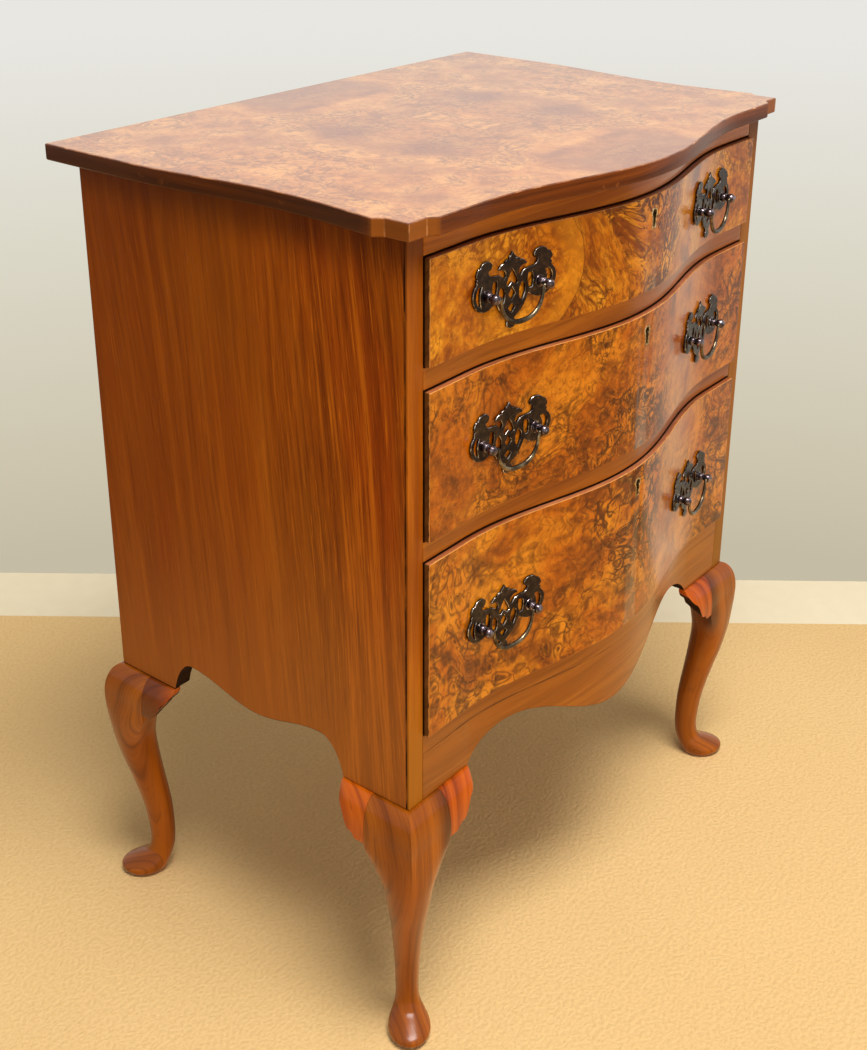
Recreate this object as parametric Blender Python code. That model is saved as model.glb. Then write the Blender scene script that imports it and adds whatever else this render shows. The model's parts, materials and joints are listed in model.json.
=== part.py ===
"""Bedside chest of three drawers with a serpentine front, on cabriole legs.

Metres, +Z up. The front faces -Y, and +X is to the right of someone who stands before it.
Pieces are laid out from the front face of the stiles (y = 0), the middle of the width (x = 0) and the
floor (z = 0). The parent empty then moves the whole chest so that its box is centred on the origin.
"""

import math

import bmesh
import bpy
from mathutils import Vector

# Carcass
CARCASS_WIDTH = 0.530
CARCASS_DEPTH = 0.352
SIDE_THICKNESS = 0.018
STILE_THICKNESS = 0.0020
BACK_THICKNESS = 0.008
BOARD_THICKNESS = 0.009
RAIL_DEPTH = 0.055
APRON_THICKNESS = 0.018

# Heights, from the floor upwards
LEG_HEIGHT = 0.243
APRON_HEIGHT = 0.0455
BOTTOM_RAIL_HEIGHT = 0.0175
LOWER_RAIL_HEIGHT = 0.0172
UPPER_RAIL_HEIGHT = 0.0176
TOP_RAIL_HEIGHT = 0.0180
TOP_THICKNESS = 0.0142
LOWER_DRAWER_HEIGHT = 0.1585
MIDDLE_DRAWER_HEIGHT = 0.1240
UPPER_DRAWER_HEIGHT = 0.0832

# Serpentine front: flat ends, then one swell across the middle
SWELL = 0.0335
FLAT_END = 0.051
SWELL_STEPS = 32

# Shaped lower edges, measured from the carcass corner and up from the leg tops
FRONT_CROWN_PLACE = 0.130
FRONT_CROWN_RISE = 0.0245
FRONT_BELLY_DROP = 0.039
SIDE_CROWN_PLACE = 0.0975
SIDE_CROWN_RISE = 0.0335
SIDE_BELLY_DROP = 0.0143
ARCH_START = 25.0
ARCH_STEPS = 5
BELLY_STEPS = 10

# Top: its overhang, the dip in its sides and the small blocks at its front corners
SIDE_OVERHANG = 0.020
SIDE_DIP = 0.0125
DIP_PLACE = 0.115
DIP_REACH = 0.150
FRONT_OVERHANG = 0.0163
BACK_OVERHANG = 0.0154
BLOCK_OVERHANG = 0.0106
BLOCK_WIDTH = 0.0196
BLOCK_DEPTH = 0.0219
BLOCK_CANT = 0.007
TOP_ARRIS = 0.0016
FACE_ARRIS = 0.0008
TOP_SIDE_STEPS = 14

# Cabriole legs and their ears
LEG_BLOCK = 0.038
KNEE_REACH = 0.0203
KNEE_DROP = 0.033
KNEE_BACK = 0.042
POST_INSET = 0.003
POST_RISE = 0.040
LEG_SIDES = 16
ROLL_STEPS = 4
FRONT_EAR_REACH = 0.078
SIDE_EAR_REACH = 0.072
FRONT_EAR_DROP = 0.043
REAR_EAR_DROP = 0.036
EAR_TIP = 0.0100
EAR_END = 0.004
EAR_CURVE = 1.35
EAR_BACK = 0.006
EAR_BACK_RISE = 0.25
EAR_ROUND = 0.009
EAR_STEPS = 5
EAR_FLATTENING = 0.75
EAR_FALLS = (0.06, 0.2, 0.42, 0.7, 1.0)
EAR_ROUND_STATIONS = (0.6, 0.25, 0.0)

# Drawers
DRAWER_GAP = 0.0012
SIDE_GAP = 0.0012
FRONT_THICKNESS = 0.020
FRONT_PROUD = 0.0058
LINING_THICKNESS = 0.009
LINING_DROP = 0.006
BACK_DROP = 0.004
BOTTOM_THICKNESS = 0.004
BOTTOM_RISE = 0.008
GROOVE_DEPTH = 0.004
REAR_GAP = 0.010

# Locks, which stand a little to the right of the middle
LOCK_PLACE = 0.008
LOCK_WIDTH = 0.060
LOCK_HEIGHT = 0.038
LOCK_DEPTH = 0.010
LOCK_TOP_GAP = 0.0005
BOLT_WIDTH = 0.024
BOLT_THICKNESS = 0.005
BOLT_LENGTH = 0.016
MORTISE_MARGIN = 0.0015
MORTISE_DEPTH = 0.008
KEYHOLE_DROP = 0.020
KEYHOLE_HEIGHT = 0.0175
KEYHOLE_HEAD = 0.0046
KEYHOLE_FOOT = 0.0030
KEYHOLE_WALL = 0.0013
KEYHOLE_ARC_START = -50.0
KEYHOLE_ARC = 280.0
ESCUTCHEON_DEPTH = 0.006
KEYHOLE_STEPS = 10

# Handles
HANDLE_INSET = 0.092
UPPER_HANDLE_DROP = 0.0027
MIDDLE_HANDLE_DROP = 0.0026
LOWER_HANDLE_DROP = 0.0063
POST_CENTRES = 0.057
PLATE_THICKNESS = 0.0020
PLATE_SEAT = 0.00045
PLATE_UNIT = 0.001
POST_REACH = 0.0095
POST_BASE = 0.0052
POST_BEAD = 0.0040
POST_NECK = 0.0027
POST_BALL = 0.0043
BEAD_TURNS = (50.0, 90.0, 130.0)
BALL_TURNS = (55.0, 90.0, 122.0, 154.0)
POST_SIDES = 8
BAIL_DROP = 0.0232
BAIL_HALF_WIDTH = 0.0226
BAIL_END = 0.0014
BAIL_MIDDLE = 0.0021
BAIL_SQUARENESS = 2.4
BAIL_SHOULDER = 8.0
BAIL_STEPS = 8
BAIL_SIDES = 7

# Glued joints and seats
FIT = 0.0003

# Edges sharper than this stay crisp on the rounded pieces
SMOOTH_ANGLE = 40.0

# A cabriole leg from the knee to the floor. Each row is one section: its height in parts of the leg's
# height, then, in parts of the block's side and outwards along the diagonal from the carcass corner, its
# front, its back, its half width and where that is greatest, then how square (1) or round (2) its front and
# back are.
LEG_PATTERN = (
    (0.811, 0.524, -0.908, 0.968, -0.445, 1.15, 1.0),
    (0.782, 0.505, -0.789, 0.892, -0.392, 1.25, 1.2),
    (0.741, 0.468, -0.716, 0.763, -0.321, 1.45, 1.5),
    (0.671, 0.389, -0.658, 0.574, -0.171, 1.70, 1.8),
    (0.568, 0.224, -0.711, 0.468, -0.224, 1.90, 2.0),
    (0.481, 0.053, -0.784, 0.400, -0.363, 2.00, 2.0),
    (0.329, -0.197, -0.921, 0.318, -0.558, 2.00, 2.0),
    (0.198, -0.303, -0.955, 0.278, -0.626, 2.00, 2.0),
    (0.125, -0.285, -0.925, 0.272, -0.605, 2.00, 2.0),
    (0.086, -0.150, -0.865, 0.310, -0.510, 2.00, 2.0),
    (0.064, 0.165, -0.815, 0.395, -0.330, 2.00, 2.0),
    (0.043, 0.455, -0.760, 0.480, -0.165, 2.00, 2.0),
    (0.026, 0.505, -0.722, 0.500, -0.108, 2.00, 2.0),
    (0.010, 0.440, -0.655, 0.452, -0.105, 2.00, 2.0),
    (0.000, 0.342, -0.566, 0.368, -0.105, 2.00, 2.0),
)

# Handle plate, in plate units from the middle of the post line: the right half of its outline from the
# crown's tip to the foot of the pendant, then the piercings of the right half and those on the middle line.
PLATE_OUTLINE = (
    (0.0, 29.5), (2.8, 25.8), (5.2, 23.2), (7.6, 23.6), (9.6, 21.2), (15.2, 18.2), (11.2, 17.0),
    (7.6, 14.6), (6.6, 11.0), (8.8, 8.5), (11.6, 12.0), (16.5, 13.6), (24.6, 15.2), (26.4, 18.4),
    (23.0, 20.2), (21.8, 23.4), (24.4, 26.2), (30.0, 27.2), (35.4, 24.6), (38.6, 22.2), (40.2, 18.6),
    (39.4, 13.4), (43.0, 8.0), (44.6, 2.5), (43.2, -3.5), (39.4, -8.6), (34.0, -11.6), (28.0, -12.4),
    (22.0, -10.4), (17.0, -7.4), (14.8, -12.2), (10.4, -18.6), (4.6, -22.8), (2.8, -24.6), (4.9, -27.4),
    (4.2, -30.6), (0.0, -32.2),
)
SIDE_PIERCINGS = (
    (
        (33.6, 8.4), (37.2, 9.2), (40.0, 5.6), (40.4, 0.8),
        (38.2, -4.4), (34.6, -7.4), (35.8, -2.4), (35.6, 3.4),
    ),
    ((16.6, 9.2), (20.6, 9.0), (21.6, 5.0), (21.0, -3.0), (18.0, -3.4), (16.2, 3.0)),
    ((10.4, 3.4), (13.2, 1.0), (13.8, -4.0), (10.6, -12.4), (8.0, -8.0), (7.8, -1.6)),
)
MIDDLE_PIERCINGS = (
    ((0.0, 15.6), (3.2, 10.4), (6.2, 3.6), (3.4, 2.4), (0.0, 5.6), (-3.4, 2.4), (-6.2, 3.6), (-3.2, 10.4)),
    ((0.0, 1.0), (3.6, -4.6), (0.0, -9.4), (-3.6, -4.6)),
    ((0.0, -12.2), (3.8, -15.4), (0.0, -20.0), (-3.8, -15.4)),
)

# Worked out from the sizes above
HALF_WIDTH = CARCASS_WIDTH / 2
INNER_HALF = HALF_WIDTH - SIDE_THICKNESS
APRON_TOP = LEG_HEIGHT + APRON_HEIGHT
BOTTOM_RAIL_TOP = APRON_TOP + BOTTOM_RAIL_HEIGHT
LOWER_OPENING_TOP = BOTTOM_RAIL_TOP + LOWER_DRAWER_HEIGHT + 2 * DRAWER_GAP
LOWER_RAIL_TOP = LOWER_OPENING_TOP + LOWER_RAIL_HEIGHT
MIDDLE_OPENING_TOP = LOWER_RAIL_TOP + MIDDLE_DRAWER_HEIGHT + 2 * DRAWER_GAP
UPPER_RAIL_TOP = MIDDLE_OPENING_TOP + UPPER_RAIL_HEIGHT
UPPER_OPENING_TOP = UPPER_RAIL_TOP + UPPER_DRAWER_HEIGHT + 2 * DRAWER_GAP
CARCASS_TOP = UPPER_OPENING_TOP + TOP_RAIL_HEIGHT
BACK_FACE = CARCASS_DEPTH - BACK_THICKNESS
DRAWER_HALF = INNER_HALF - SIDE_GAP
DRAWER_END = BACK_FACE - REAR_GAP
PLATE_BACK = FRONT_PROUD + PLATE_SEAT
PLATE_FACE = PLATE_BACK + PLATE_THICKNESS
KNEE_LEVEL = LEG_HEIGHT - KNEE_DROP


def clear_scene():
    for obj in list(bpy.data.objects):
        bpy.data.objects.remove(obj, do_unlink=True)


def make_material(name, colour, roughness, metallic=0.0):
    material = bpy.data.materials.new(name)
    material.use_nodes = True
    shader = material.node_tree.nodes["Principled BSDF"]
    shader.inputs["Base Color"].default_value = (*colour, 1.0)
    shader.inputs["Roughness"].default_value = roughness
    shader.inputs["Metallic"].default_value = metallic
    return material


def make_empty(name, location, parent=None):
    empty = bpy.data.objects.new(name, None)
    bpy.context.scene.collection.objects.link(empty)
    empty.parent = parent
    empty.location = location
    return empty


def place(name, mesh_points, material, parent, origin, smooth=False):
    """Makes one named object of a bmesh laid out in chest places, with its own origin at the given place."""
    bmesh.ops.recalc_face_normals(mesh_points, faces=mesh_points.faces)
    bmesh.ops.translate(mesh_points, verts=mesh_points.verts, vec=-Vector(origin))
    mesh = bpy.data.meshes.new(name)
    mesh_points.to_mesh(mesh)
    mesh_points.free()
    if smooth:
        mesh.shade_smooth()
        mesh.set_sharp_from_angle(angle=math.radians(SMOOTH_ANGLE))
    obj = bpy.data.objects.new(name, mesh)
    bpy.context.scene.collection.objects.link(obj)
    if material:
        mesh.materials.append(material)
    obj.parent = parent
    obj.location = Vector(origin) - chest_place(parent)
    return obj


def chest_place(empty):
    """Where an empty stands in chest places, which the outermost empty's own move doesn't change."""
    if empty is None or empty.parent is None:
        return Vector((0.0, 0.0, 0.0))
    return empty.location + chest_place(empty.parent)


def cut(piece, cutter):
    """Takes a helper solid away from a piece."""
    cutter.hide_render = True
    cutter.display_type = "WIRE"
    modifier = piece.modifiers.new("cut_" + cutter.name, "BOOLEAN")
    modifier.operation = "DIFFERENCE"
    modifier.object = cutter


def loft(rings, closed_end_to_end=False):
    """A closed skin over rings of equal length, capped at both ends unless the rings close on themselves."""
    skin = bmesh.new()
    rows = [[skin.verts.new(point) for point in ring] for ring in rings]
    count = len(rows[0])
    pairs = list(zip(rows, rows[1:]))
    if closed_end_to_end:
        pairs.append((rows[-1], rows[0]))
    for row, following in pairs:
        for i in range(count):
            j = (i + 1) % count
            skin.faces.new((row[i], row[j], following[j], following[i]))
    if not closed_end_to_end:
        skin.faces.new(rows[0])
        skin.faces.new(rows[-1])
    return skin


def block(low, high):
    """A plain rectangular solid between two corners."""
    (x0, y0, z0), (x1, y1, z1) = low, high
    return loft([[(x0, y0, z), (x1, y0, z), (x1, y1, z), (x0, y1, z)] for z in (z0, z1)])


def spread(start, end, steps):
    return [start + (end - start) * i / steps for i in range(steps + 1)]


def swell(x):
    """How far the serpentine front stands forward of its flat ends."""
    reach = INNER_HALF - FLAT_END
    part = min(abs(x) / reach, 1.0)
    return SWELL * (1.0 + math.cos(math.pi * part)) / 2.0


def serpentine(half, proud, back, low, high, stations=None):
    """A bar along the front. back(x) gives its rear face, low(x) its lower edge."""
    rings = []
    for x in stations or spread(-half, half, SWELL_STEPS):
        front = -swell(x) - proud
        rings.append([(x, front, low(x)), (x, back(x), low(x)), (x, back(x), high), (x, front, high)])
    return loft(rings)


def arched_edge(ear_end, crown_place, crown_rise, belly_drop, middle):
    """Half of a shaped lower edge as (distance from the corner, height): the arch, then the belly."""
    points = []
    start = math.radians(ARCH_START)
    for i in range(ARCH_STEPS + 1):
        turn = start + (math.pi / 2 - start) * i / ARCH_STEPS
        away = crown_place - (crown_place - ear_end) * math.cos(turn) / math.cos(start)
        rise = crown_rise * (math.sin(turn) - math.sin(start)) / (1.0 - math.sin(start))
        points.append((away, LEG_HEIGHT + FIT + rise))
    for i in range(1, BELLY_STEPS + 1):
        part = i / BELLY_STEPS
        away = crown_place + (middle - crown_place) * part
        dip = belly_drop * (1.0 - math.cos(math.pi * part)) / 2.0
        points.append((away, LEG_HEIGHT + FIT + crown_rise - dip))
    return points


def make_side_panel(side, material, chest):
    """A veneered side whose lower edge is flat over the legs and ears and shaped between them."""
    middle = CARCASS_DEPTH / 2
    half_edge = arched_edge(SIDE_EAR_REACH, SIDE_CROWN_PLACE, SIDE_CROWN_RISE, SIDE_BELLY_DROP, middle)
    start = STILE_THICKNESS + FIT
    edge = [(start, LEG_HEIGHT + FIT)] + half_edge
    edge += [(CARCASS_DEPTH - away, height) for away, height in reversed(half_edge[:-1])]
    edge.append((CARCASS_DEPTH, LEG_HEIGHT + FIT))
    inner, outer = side * INNER_HALF, side * HALF_WIDTH
    rings = []
    for y, low in edge:
        rings.append([(inner, y, low), (outer, y, low), (outer, y, CARCASS_TOP), (inner, y, CARCASS_TOP)])
    name = "side_panel_left" if side < 0 else "side_panel_right"
    place(name, loft(rings), material, chest, (outer, 0.0, LEG_HEIGHT))


def make_carcass(chest, walnut, lining):
    for side, word in ((-1, "left"), (1, "right")):
        make_side_panel(side, walnut, chest)
        inner, outer = sorted((side * INNER_HALF, side * HALF_WIDTH))
        stile = block((inner, 0.0, LEG_HEIGHT + FIT), (outer, STILE_THICKNESS, CARCASS_TOP))
        place("front_stile_" + word, stile, walnut, chest, (side * HALF_WIDTH, 0.0, LEG_HEIGHT))
    between = INNER_HALF - FIT
    back = block((-between, BACK_FACE, LEG_HEIGHT + FIT), (between, CARCASS_DEPTH, CARCASS_TOP))
    place("back_panel", back, lining, chest, (0.0, CARCASS_DEPTH, LEG_HEIGHT))

    rails = {}
    for name, low, high in (
        ("bottom_rail", APRON_TOP, BOTTOM_RAIL_TOP),
        ("lower_rail", LOWER_OPENING_TOP, LOWER_RAIL_TOP),
        ("upper_rail", MIDDLE_OPENING_TOP, UPPER_RAIL_TOP),
        ("top_rail", UPPER_OPENING_TOP, CARCASS_TOP),
    ):
        bar = serpentine(between, 0.0, lambda x: RAIL_DEPTH, lambda x, low=low: low, high)
        rails[name] = place(name, bar, walnut, chest, (0.0, 0.0, low))
    for name, top in (
        ("bottom_board", BOTTOM_RAIL_TOP),
        ("lower_dustboard", LOWER_RAIL_TOP),
        ("upper_dustboard", UPPER_RAIL_TOP),
    ):
        board = block((-between, RAIL_DEPTH + FIT, top - BOARD_THICKNESS), (between, BACK_FACE - FIT, top))
        place(name, board, lining, chest, (0.0, RAIL_DEPTH, top))
    make_apron(chest, walnut, between)
    return rails


def make_apron(chest, material, between):
    crown = (FRONT_CROWN_PLACE, FRONT_CROWN_RISE)
    half_edge = arched_edge(FRONT_EAR_REACH, *crown, FRONT_BELLY_DROP, HALF_WIDTH)
    edge = [(-between, LEG_HEIGHT + FIT)] + [(away - HALF_WIDTH, height) for away, height in half_edge]
    edge += [(-x, height) for x, height in reversed(edge[:-1])]
    heights = dict(edge)
    apron = serpentine(
        between,
        0.0,
        lambda x: APRON_THICKNESS - swell(x),
        lambda x: heights[x],
        APRON_TOP - FIT,
        [x for x, height in edge],
    )
    place("front_apron", apron, material, chest, (0.0, 0.0, APRON_TOP))


def top_half_outline(inset):
    """The right half of the top's plan, from the middle of the front round to the middle of the back."""
    block_x = HALF_WIDTH + BLOCK_OVERHANG
    points = []
    cant_x = block_x - BLOCK_WIDTH - BLOCK_CANT
    for x in spread(0.0, cant_x, SWELL_STEPS // 2):
        points.append((x, -swell(x) - FRONT_OVERHANG + inset))
    points.append((block_x - BLOCK_WIDTH, -BLOCK_OVERHANG + inset))
    points.append((block_x - inset, -BLOCK_OVERHANG + inset))
    points.append((block_x - inset, BLOCK_DEPTH - BLOCK_OVERHANG))
    for y in spread(BLOCK_DEPTH - BLOCK_OVERHANG + BLOCK_CANT, CARCASS_DEPTH, TOP_SIDE_STEPS):
        part = min(abs(y - DIP_PLACE) / DIP_REACH, 1.0)
        overhang = SIDE_OVERHANG - SIDE_DIP * (1.0 + math.cos(math.pi * part)) / 2.0
        points.append((HALF_WIDTH + overhang - inset, y))
    points.append((HALF_WIDTH + SIDE_OVERHANG - inset, CARCASS_DEPTH + BACK_OVERHANG - inset))
    return points


def make_top(chest, material):
    under = CARCASS_TOP + FIT
    face = under + TOP_THICKNESS
    rings = []
    edge_profile = (
        (TOP_ARRIS, under),
        (0.0, under + TOP_ARRIS),
        (0.0, face - FACE_ARRIS),
        (FACE_ARRIS, face),
    )
    for inset, height in edge_profile:
        half = top_half_outline(inset)
        whole = half + [(-x, y) for x, y in reversed(half[1:])]
        rings.append([(x, y, height) for x, y in whole])
    place("top", loft(rings), material, chest, (0.0, 0.0, under))


def knee_reach(height):
    """How far the arris of the knee stands out from the carcass corner, along the diagonal."""
    if height >= KNEE_LEVEL:
        part = (height - KNEE_LEVEL) / (LEG_HEIGHT - KNEE_LEVEL)
        return KNEE_REACH * math.sqrt(max(1.0 - part * part, 0.0))
    first_height, first_reach = LEG_PATTERN[0][0] * LEG_HEIGHT, LEG_PATTERN[0][1] * LEG_BLOCK
    part = min((KNEE_LEVEL - height) / (KNEE_LEVEL - first_height), 1.0)
    return KNEE_REACH + (first_reach - KNEE_REACH) * part


def block_section(height, back):
    """The square top of a leg at a height: front, back, half width and where the width is greatest."""
    face = knee_reach(height) / math.sqrt(2)
    return knee_reach(height), back, (face + LEG_BLOCK) / math.sqrt(2), (face - LEG_BLOCK) / math.sqrt(2)


def leg_sections():
    """Every section of a leg from its top down, each with the values of a row of LEG_PATTERN in metres."""
    corner = -LEG_BLOCK * math.sqrt(2)
    sections = []
    for i in range(ROLL_STEPS + 1):
        turn = math.radians(90) * i / ROLL_STEPS
        height = KNEE_LEVEL + (LEG_HEIGHT - KNEE_LEVEL) * math.cos(turn)
        back = corner - (KNEE_BACK + corner) * (1.0 - math.cos(turn))
        sections.append((height, *block_section(height, back), 1.0, 1.0))
    for height, front, back, half, middle, front_round, back_round in LEG_PATTERN:
        sizes = [size * LEG_BLOCK for size in (front, back, half, middle)]
        sections.append((height * LEG_HEIGHT, *sizes, front_round, back_round))
    return sections


def leg_ring(corner, outward, section):
    height, front, back, half, middle, front_round, back_round = section
    ring = []
    for i in range(LEG_SIDES):
        turn = 2 * math.pi * i / LEG_SIDES
        along, across = math.cos(turn), math.sin(turn)
        length, roundness = (front - middle, front_round) if along >= 0 else (middle - back, back_round)
        power = 2.0 / roundness
        out = middle + math.copysign(length * abs(along) ** power, along)
        sideways = math.copysign(half * abs(across) ** power, across)
        x = corner[0] + outward[0] * (out - sideways) / math.sqrt(2)
        y = corner[1] + outward[1] * (out + sideways) / math.sqrt(2)
        ring.append((x, y, height))
    return ring


def post_ring(corner, outward, clear_y, height):
    """The post above a leg, behind the side panel and the apron or back, in the order of leg_ring."""
    near = (SIDE_THICKNESS + FIT, clear_y + FIT)
    far = LEG_BLOCK - POST_INSET
    corners = [(near[0], near[1]), (far, near[1]), (far, far), (near[0], far)]
    steps = LEG_SIDES // 4
    ring = []
    for start, end in zip(corners, corners[1:] + corners[:1]):
        for i in range(steps):
            part = i / steps
            x = start[0] + (end[0] - start[0]) * part
            y = start[1] + (end[1] - start[1]) * part
            ring.append((corner[0] - outward[0] * x, corner[1] - outward[1] * y, height))
    return ring


def make_leg(name, corner, outward, clear_y, material, chest):
    rings = [post_ring(corner, outward, clear_y, LEG_HEIGHT + rise) for rise in (POST_RISE, 0.0)]
    rings += [leg_ring(corner, outward, section) for section in leg_sections()]
    place(name, loft(rings), material, chest, (*corner, LEG_HEIGHT), smooth=True)


def ear_section(away, reach, drop):
    """An ear's outline at a distance from the corner, as (outwards from the carcass face, height)."""
    seam = LEG_BLOCK + FIT
    tip = seam + EAR_TIP
    part = max(away - tip, 0.0) / (reach - tip)
    low = LEG_HEIGHT - drop + (drop - EAR_END) * part ** EAR_CURVE
    rounding = max(away - (reach - EAR_ROUND), 0.0) / EAR_ROUND
    keep = math.sqrt(1.0 - EAR_FLATTENING * rounding * rounding)
    points = [(-EAR_BACK, LEG_HEIGHT), (0.0, LEG_HEIGHT)]
    for fall in EAR_FALLS:
        height = LEG_HEIGHT + (low - LEG_HEIGHT) * fall
        points.append((knee_reach(height) / math.sqrt(2) * keep, height))
    points.append((-EAR_BACK, low + (LEG_HEIGHT - low) * EAR_BACK_RISE))
    return points


def make_ear(name, corner, along, outward, reach, drop, material, chest):
    """along points away from the corner on the carcass face, and outward leaves the face."""
    seam = LEG_BLOCK + FIT
    stations = [seam] + spread(seam + EAR_TIP, reach - EAR_ROUND, EAR_STEPS - 2)
    stations += [reach - EAR_ROUND * part for part in EAR_ROUND_STATIONS]
    rings = []
    for away in stations:
        ring = []
        for out, height in ear_section(away, reach, drop):
            x = corner[0] + along[0] * away + outward[0] * out
            y = corner[1] + along[1] * away + outward[1] * out
            ring.append((x, y, height))
        rings.append(ring)
    place(name, loft(rings), material, chest, (*corner, LEG_HEIGHT), smooth=True)


def make_stand(chest, material):
    for side, side_word in ((-1, "left"), (1, "right")):
        for end, end_word in ((-1, "front"), (1, "rear")):
            corner = (side * HALF_WIDTH, 0.0 if end < 0 else CARCASS_DEPTH)
            outward = (side, end)
            clear_y = APRON_THICKNESS if end < 0 else BACK_THICKNESS
            where = end_word + "_" + side_word
            ear = "ear_" + where
            make_leg("leg_" + where, corner, outward, clear_y, material, chest)
            drop = FRONT_EAR_DROP if end < 0 else REAR_EAR_DROP
            make_ear(ear + "_side", corner, (0, -end), (side, 0), SIDE_EAR_REACH, drop, material, chest)
            if end < 0:
                make_ear(ear + "_front", corner, (-side, 0), (0, end), FRONT_EAR_REACH, drop, material, chest)


def keyhole_outline(grow):
    """A keyhole seen from the front: a round head over a flared foot, as (x, height) about its middle."""
    head = KEYHOLE_HEAD - KEYHOLE_WALL + grow
    foot = KEYHOLE_FOOT - KEYHOLE_WALL + grow
    half = KEYHOLE_HEIGHT / 2 - KEYHOLE_WALL + grow
    points = [(-foot, -half), (foot, -half)]
    for i in range(KEYHOLE_STEPS + 1):
        turn = math.radians(KEYHOLE_ARC_START + KEYHOLE_ARC * i / KEYHOLE_STEPS)
        points.append((head * math.cos(turn), half - head + head * math.sin(turn)))
    return points


def lock_block(half, depths, heights):
    """A rectangular solid about the middle of the locks."""
    return block((LOCK_PLACE - half, depths[0], heights[0]), (LOCK_PLACE + half, depths[1], heights[1]))


def make_lock(word, top, rail, drawer, metals):
    """Escutcheon, lock case and sliding bolt, and the bolt's mortise in the rail above."""
    brass, steel = metals
    face = -swell(LOCK_PLACE) - FRONT_PROUD
    pocket = face + FRONT_THICKNESS - LOCK_DEPTH
    key_height = top - KEYHOLE_DROP
    rings = []
    outer, inner = keyhole_outline(KEYHOLE_WALL), keyhole_outline(0.0)
    proud, deep = face - FIT, face + ESCUTCHEON_DEPTH
    for outline, y in ((outer, proud), (inner, proud), (inner, deep), (outer, deep)):
        rings.append([(LOCK_PLACE + x, y, key_height + z) for x, z in outline])
    place(word + "_escutcheon", loft(rings, True), brass, drawer, (LOCK_PLACE, face, key_height))

    half_case = LOCK_WIDTH / 2 - FIT
    case_back = pocket + LOCK_DEPTH
    case_top = top - LOCK_TOP_GAP
    case = place(
        word + "_lock_case",
        lock_block(half_case, (pocket + FIT, case_back), (top - LOCK_HEIGHT + FIT, case_top)),
        steel,
        drawer,
        (LOCK_PLACE, pocket, top),
    )
    middle = (pocket + FIT + case_back) / 2
    half_bolt, half_thick = BOLT_WIDTH / 2, BOLT_THICKNESS / 2
    bolt_foot = case_top - BOLT_LENGTH
    bolt = lock_block(half_bolt, (middle - half_thick, middle + half_thick), (bolt_foot, case_top))
    place(word + "_lock_bolt", bolt, steel, drawer, (LOCK_PLACE, middle, bolt_foot))
    slot_half = half_thick + FIT
    slot = lock_block(
        half_bolt + FIT,
        (middle - slot_half, middle + slot_half),
        (bolt_foot - FIT, top + LOCK_DEPTH),
    )
    cut(case, place(word + "_bolt_slot", slot, None, drawer, (LOCK_PLACE, middle, top)))
    mortise_half = half_thick + MORTISE_MARGIN
    mortise = lock_block(
        half_bolt + MORTISE_MARGIN,
        (middle - mortise_half, middle + mortise_half),
        (top - DRAWER_GAP, top + DRAWER_GAP + MORTISE_DEPTH),
    )
    cut(rail, place(word + "_bolt_mortise", mortise, None, rail.parent, (LOCK_PLACE, middle, top)))
    notch = lock_block(
        LOCK_WIDTH / 2,
        (pocket, pocket + FRONT_THICKNESS),
        (top - LOCK_HEIGHT, top + LOCK_DEPTH),
    )
    key_rings = []
    hole = keyhole_outline(KEYHOLE_WALL + FIT)
    for y in (face - ESCUTCHEON_DEPTH, pocket + FIT):
        key_rings.append([(LOCK_PLACE + x, y, key_height + z) for x, z in hole])
    return (
        place(word + "_lock_notch", notch, None, drawer, (LOCK_PLACE, pocket, top)),
        place(word + "_keyhole", loft(key_rings), None, drawer, (LOCK_PLACE, face, key_height)),
    )


def groove_section(outer, inner, low, high, floor):
    """A drawer side seen from the front, with the groove that holds the bottom."""
    sign = math.copysign(1.0, outer)
    deep = inner + sign * GROOVE_DEPTH
    under, over = floor - FIT, floor + BOTTOM_THICKNESS + FIT
    return [
        (outer, low), (inner, low), (inner, under), (deep, under),
        (deep, over), (inner, over), (inner, high), (outer, high),
    ]


def make_box(word, opening_low, opening_high, drawer, lining):
    """The drawer's sides, back and bottom."""
    low = opening_low + FIT
    high = opening_high - DRAWER_GAP - LINING_DROP
    floor = low + BOTTOM_RISE
    start = FRONT_THICKNESS - FRONT_PROUD + FIT
    inner = DRAWER_HALF - LINING_THICKNESS
    for side, side_word in ((-1, "left"), (1, "right")):
        section = groove_section(side * DRAWER_HALF, side * inner, low, high, floor)
        rings = [[(x, y, z) for x, z in section] for y in (start, DRAWER_END)]
        corner = (side * DRAWER_HALF, start, low)
        place(word + "_drawer_side_" + side_word, loft(rings), lining, drawer, corner)
    half = inner - FIT
    back = block(
        (-half, DRAWER_END - LINING_THICKNESS, floor + BOTTOM_THICKNESS + FIT),
        (half, DRAWER_END, high - BACK_DROP),
    )
    place(word + "_drawer_back", back, lining, drawer, (0.0, DRAWER_END, floor))
    reach = inner + GROOVE_DEPTH - FIT
    rings = []
    for x in spread(-reach, reach, SWELL_STEPS // 2):
        front = start - swell(x) + FIT
        rings.append([
            (x, front, floor), (x, DRAWER_END, floor),
            (x, DRAWER_END, floor + BOTTOM_THICKNESS), (x, front, floor + BOTTOM_THICKNESS),
        ])
    place(word + "_drawer_bottom", loft(rings), lining, drawer, (0.0, start, floor))


class HandleFrame:
    """Places for one handle: its plate lies on the curved front, and its posts stand square to their line."""

    def __init__(self, side, height):
        self.middle_x = side * (DRAWER_HALF - HANDLE_INSET)
        self.height = height
        half = POST_CENTRES / 2
        self.feet = [self.on_plate(across, 0.0, PLATE_FACE) for across in (-half, half)]
        self.axis = (self.feet[1] - self.feet[0]).normalized()
        self.outward = Vector((self.axis.y, -self.axis.x, 0.0))
        self.pivot = (self.feet[0] + self.feet[1]) / 2 + self.outward * POST_REACH

    def on_plate(self, across, up, stand_off):
        x = self.middle_x + across
        return Vector((x, -swell(x) - stand_off, self.height + up))

    def beside(self, point, across, out, up):
        return point + self.axis * across + self.outward * out + Vector((0.0, 0.0, up))


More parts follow.
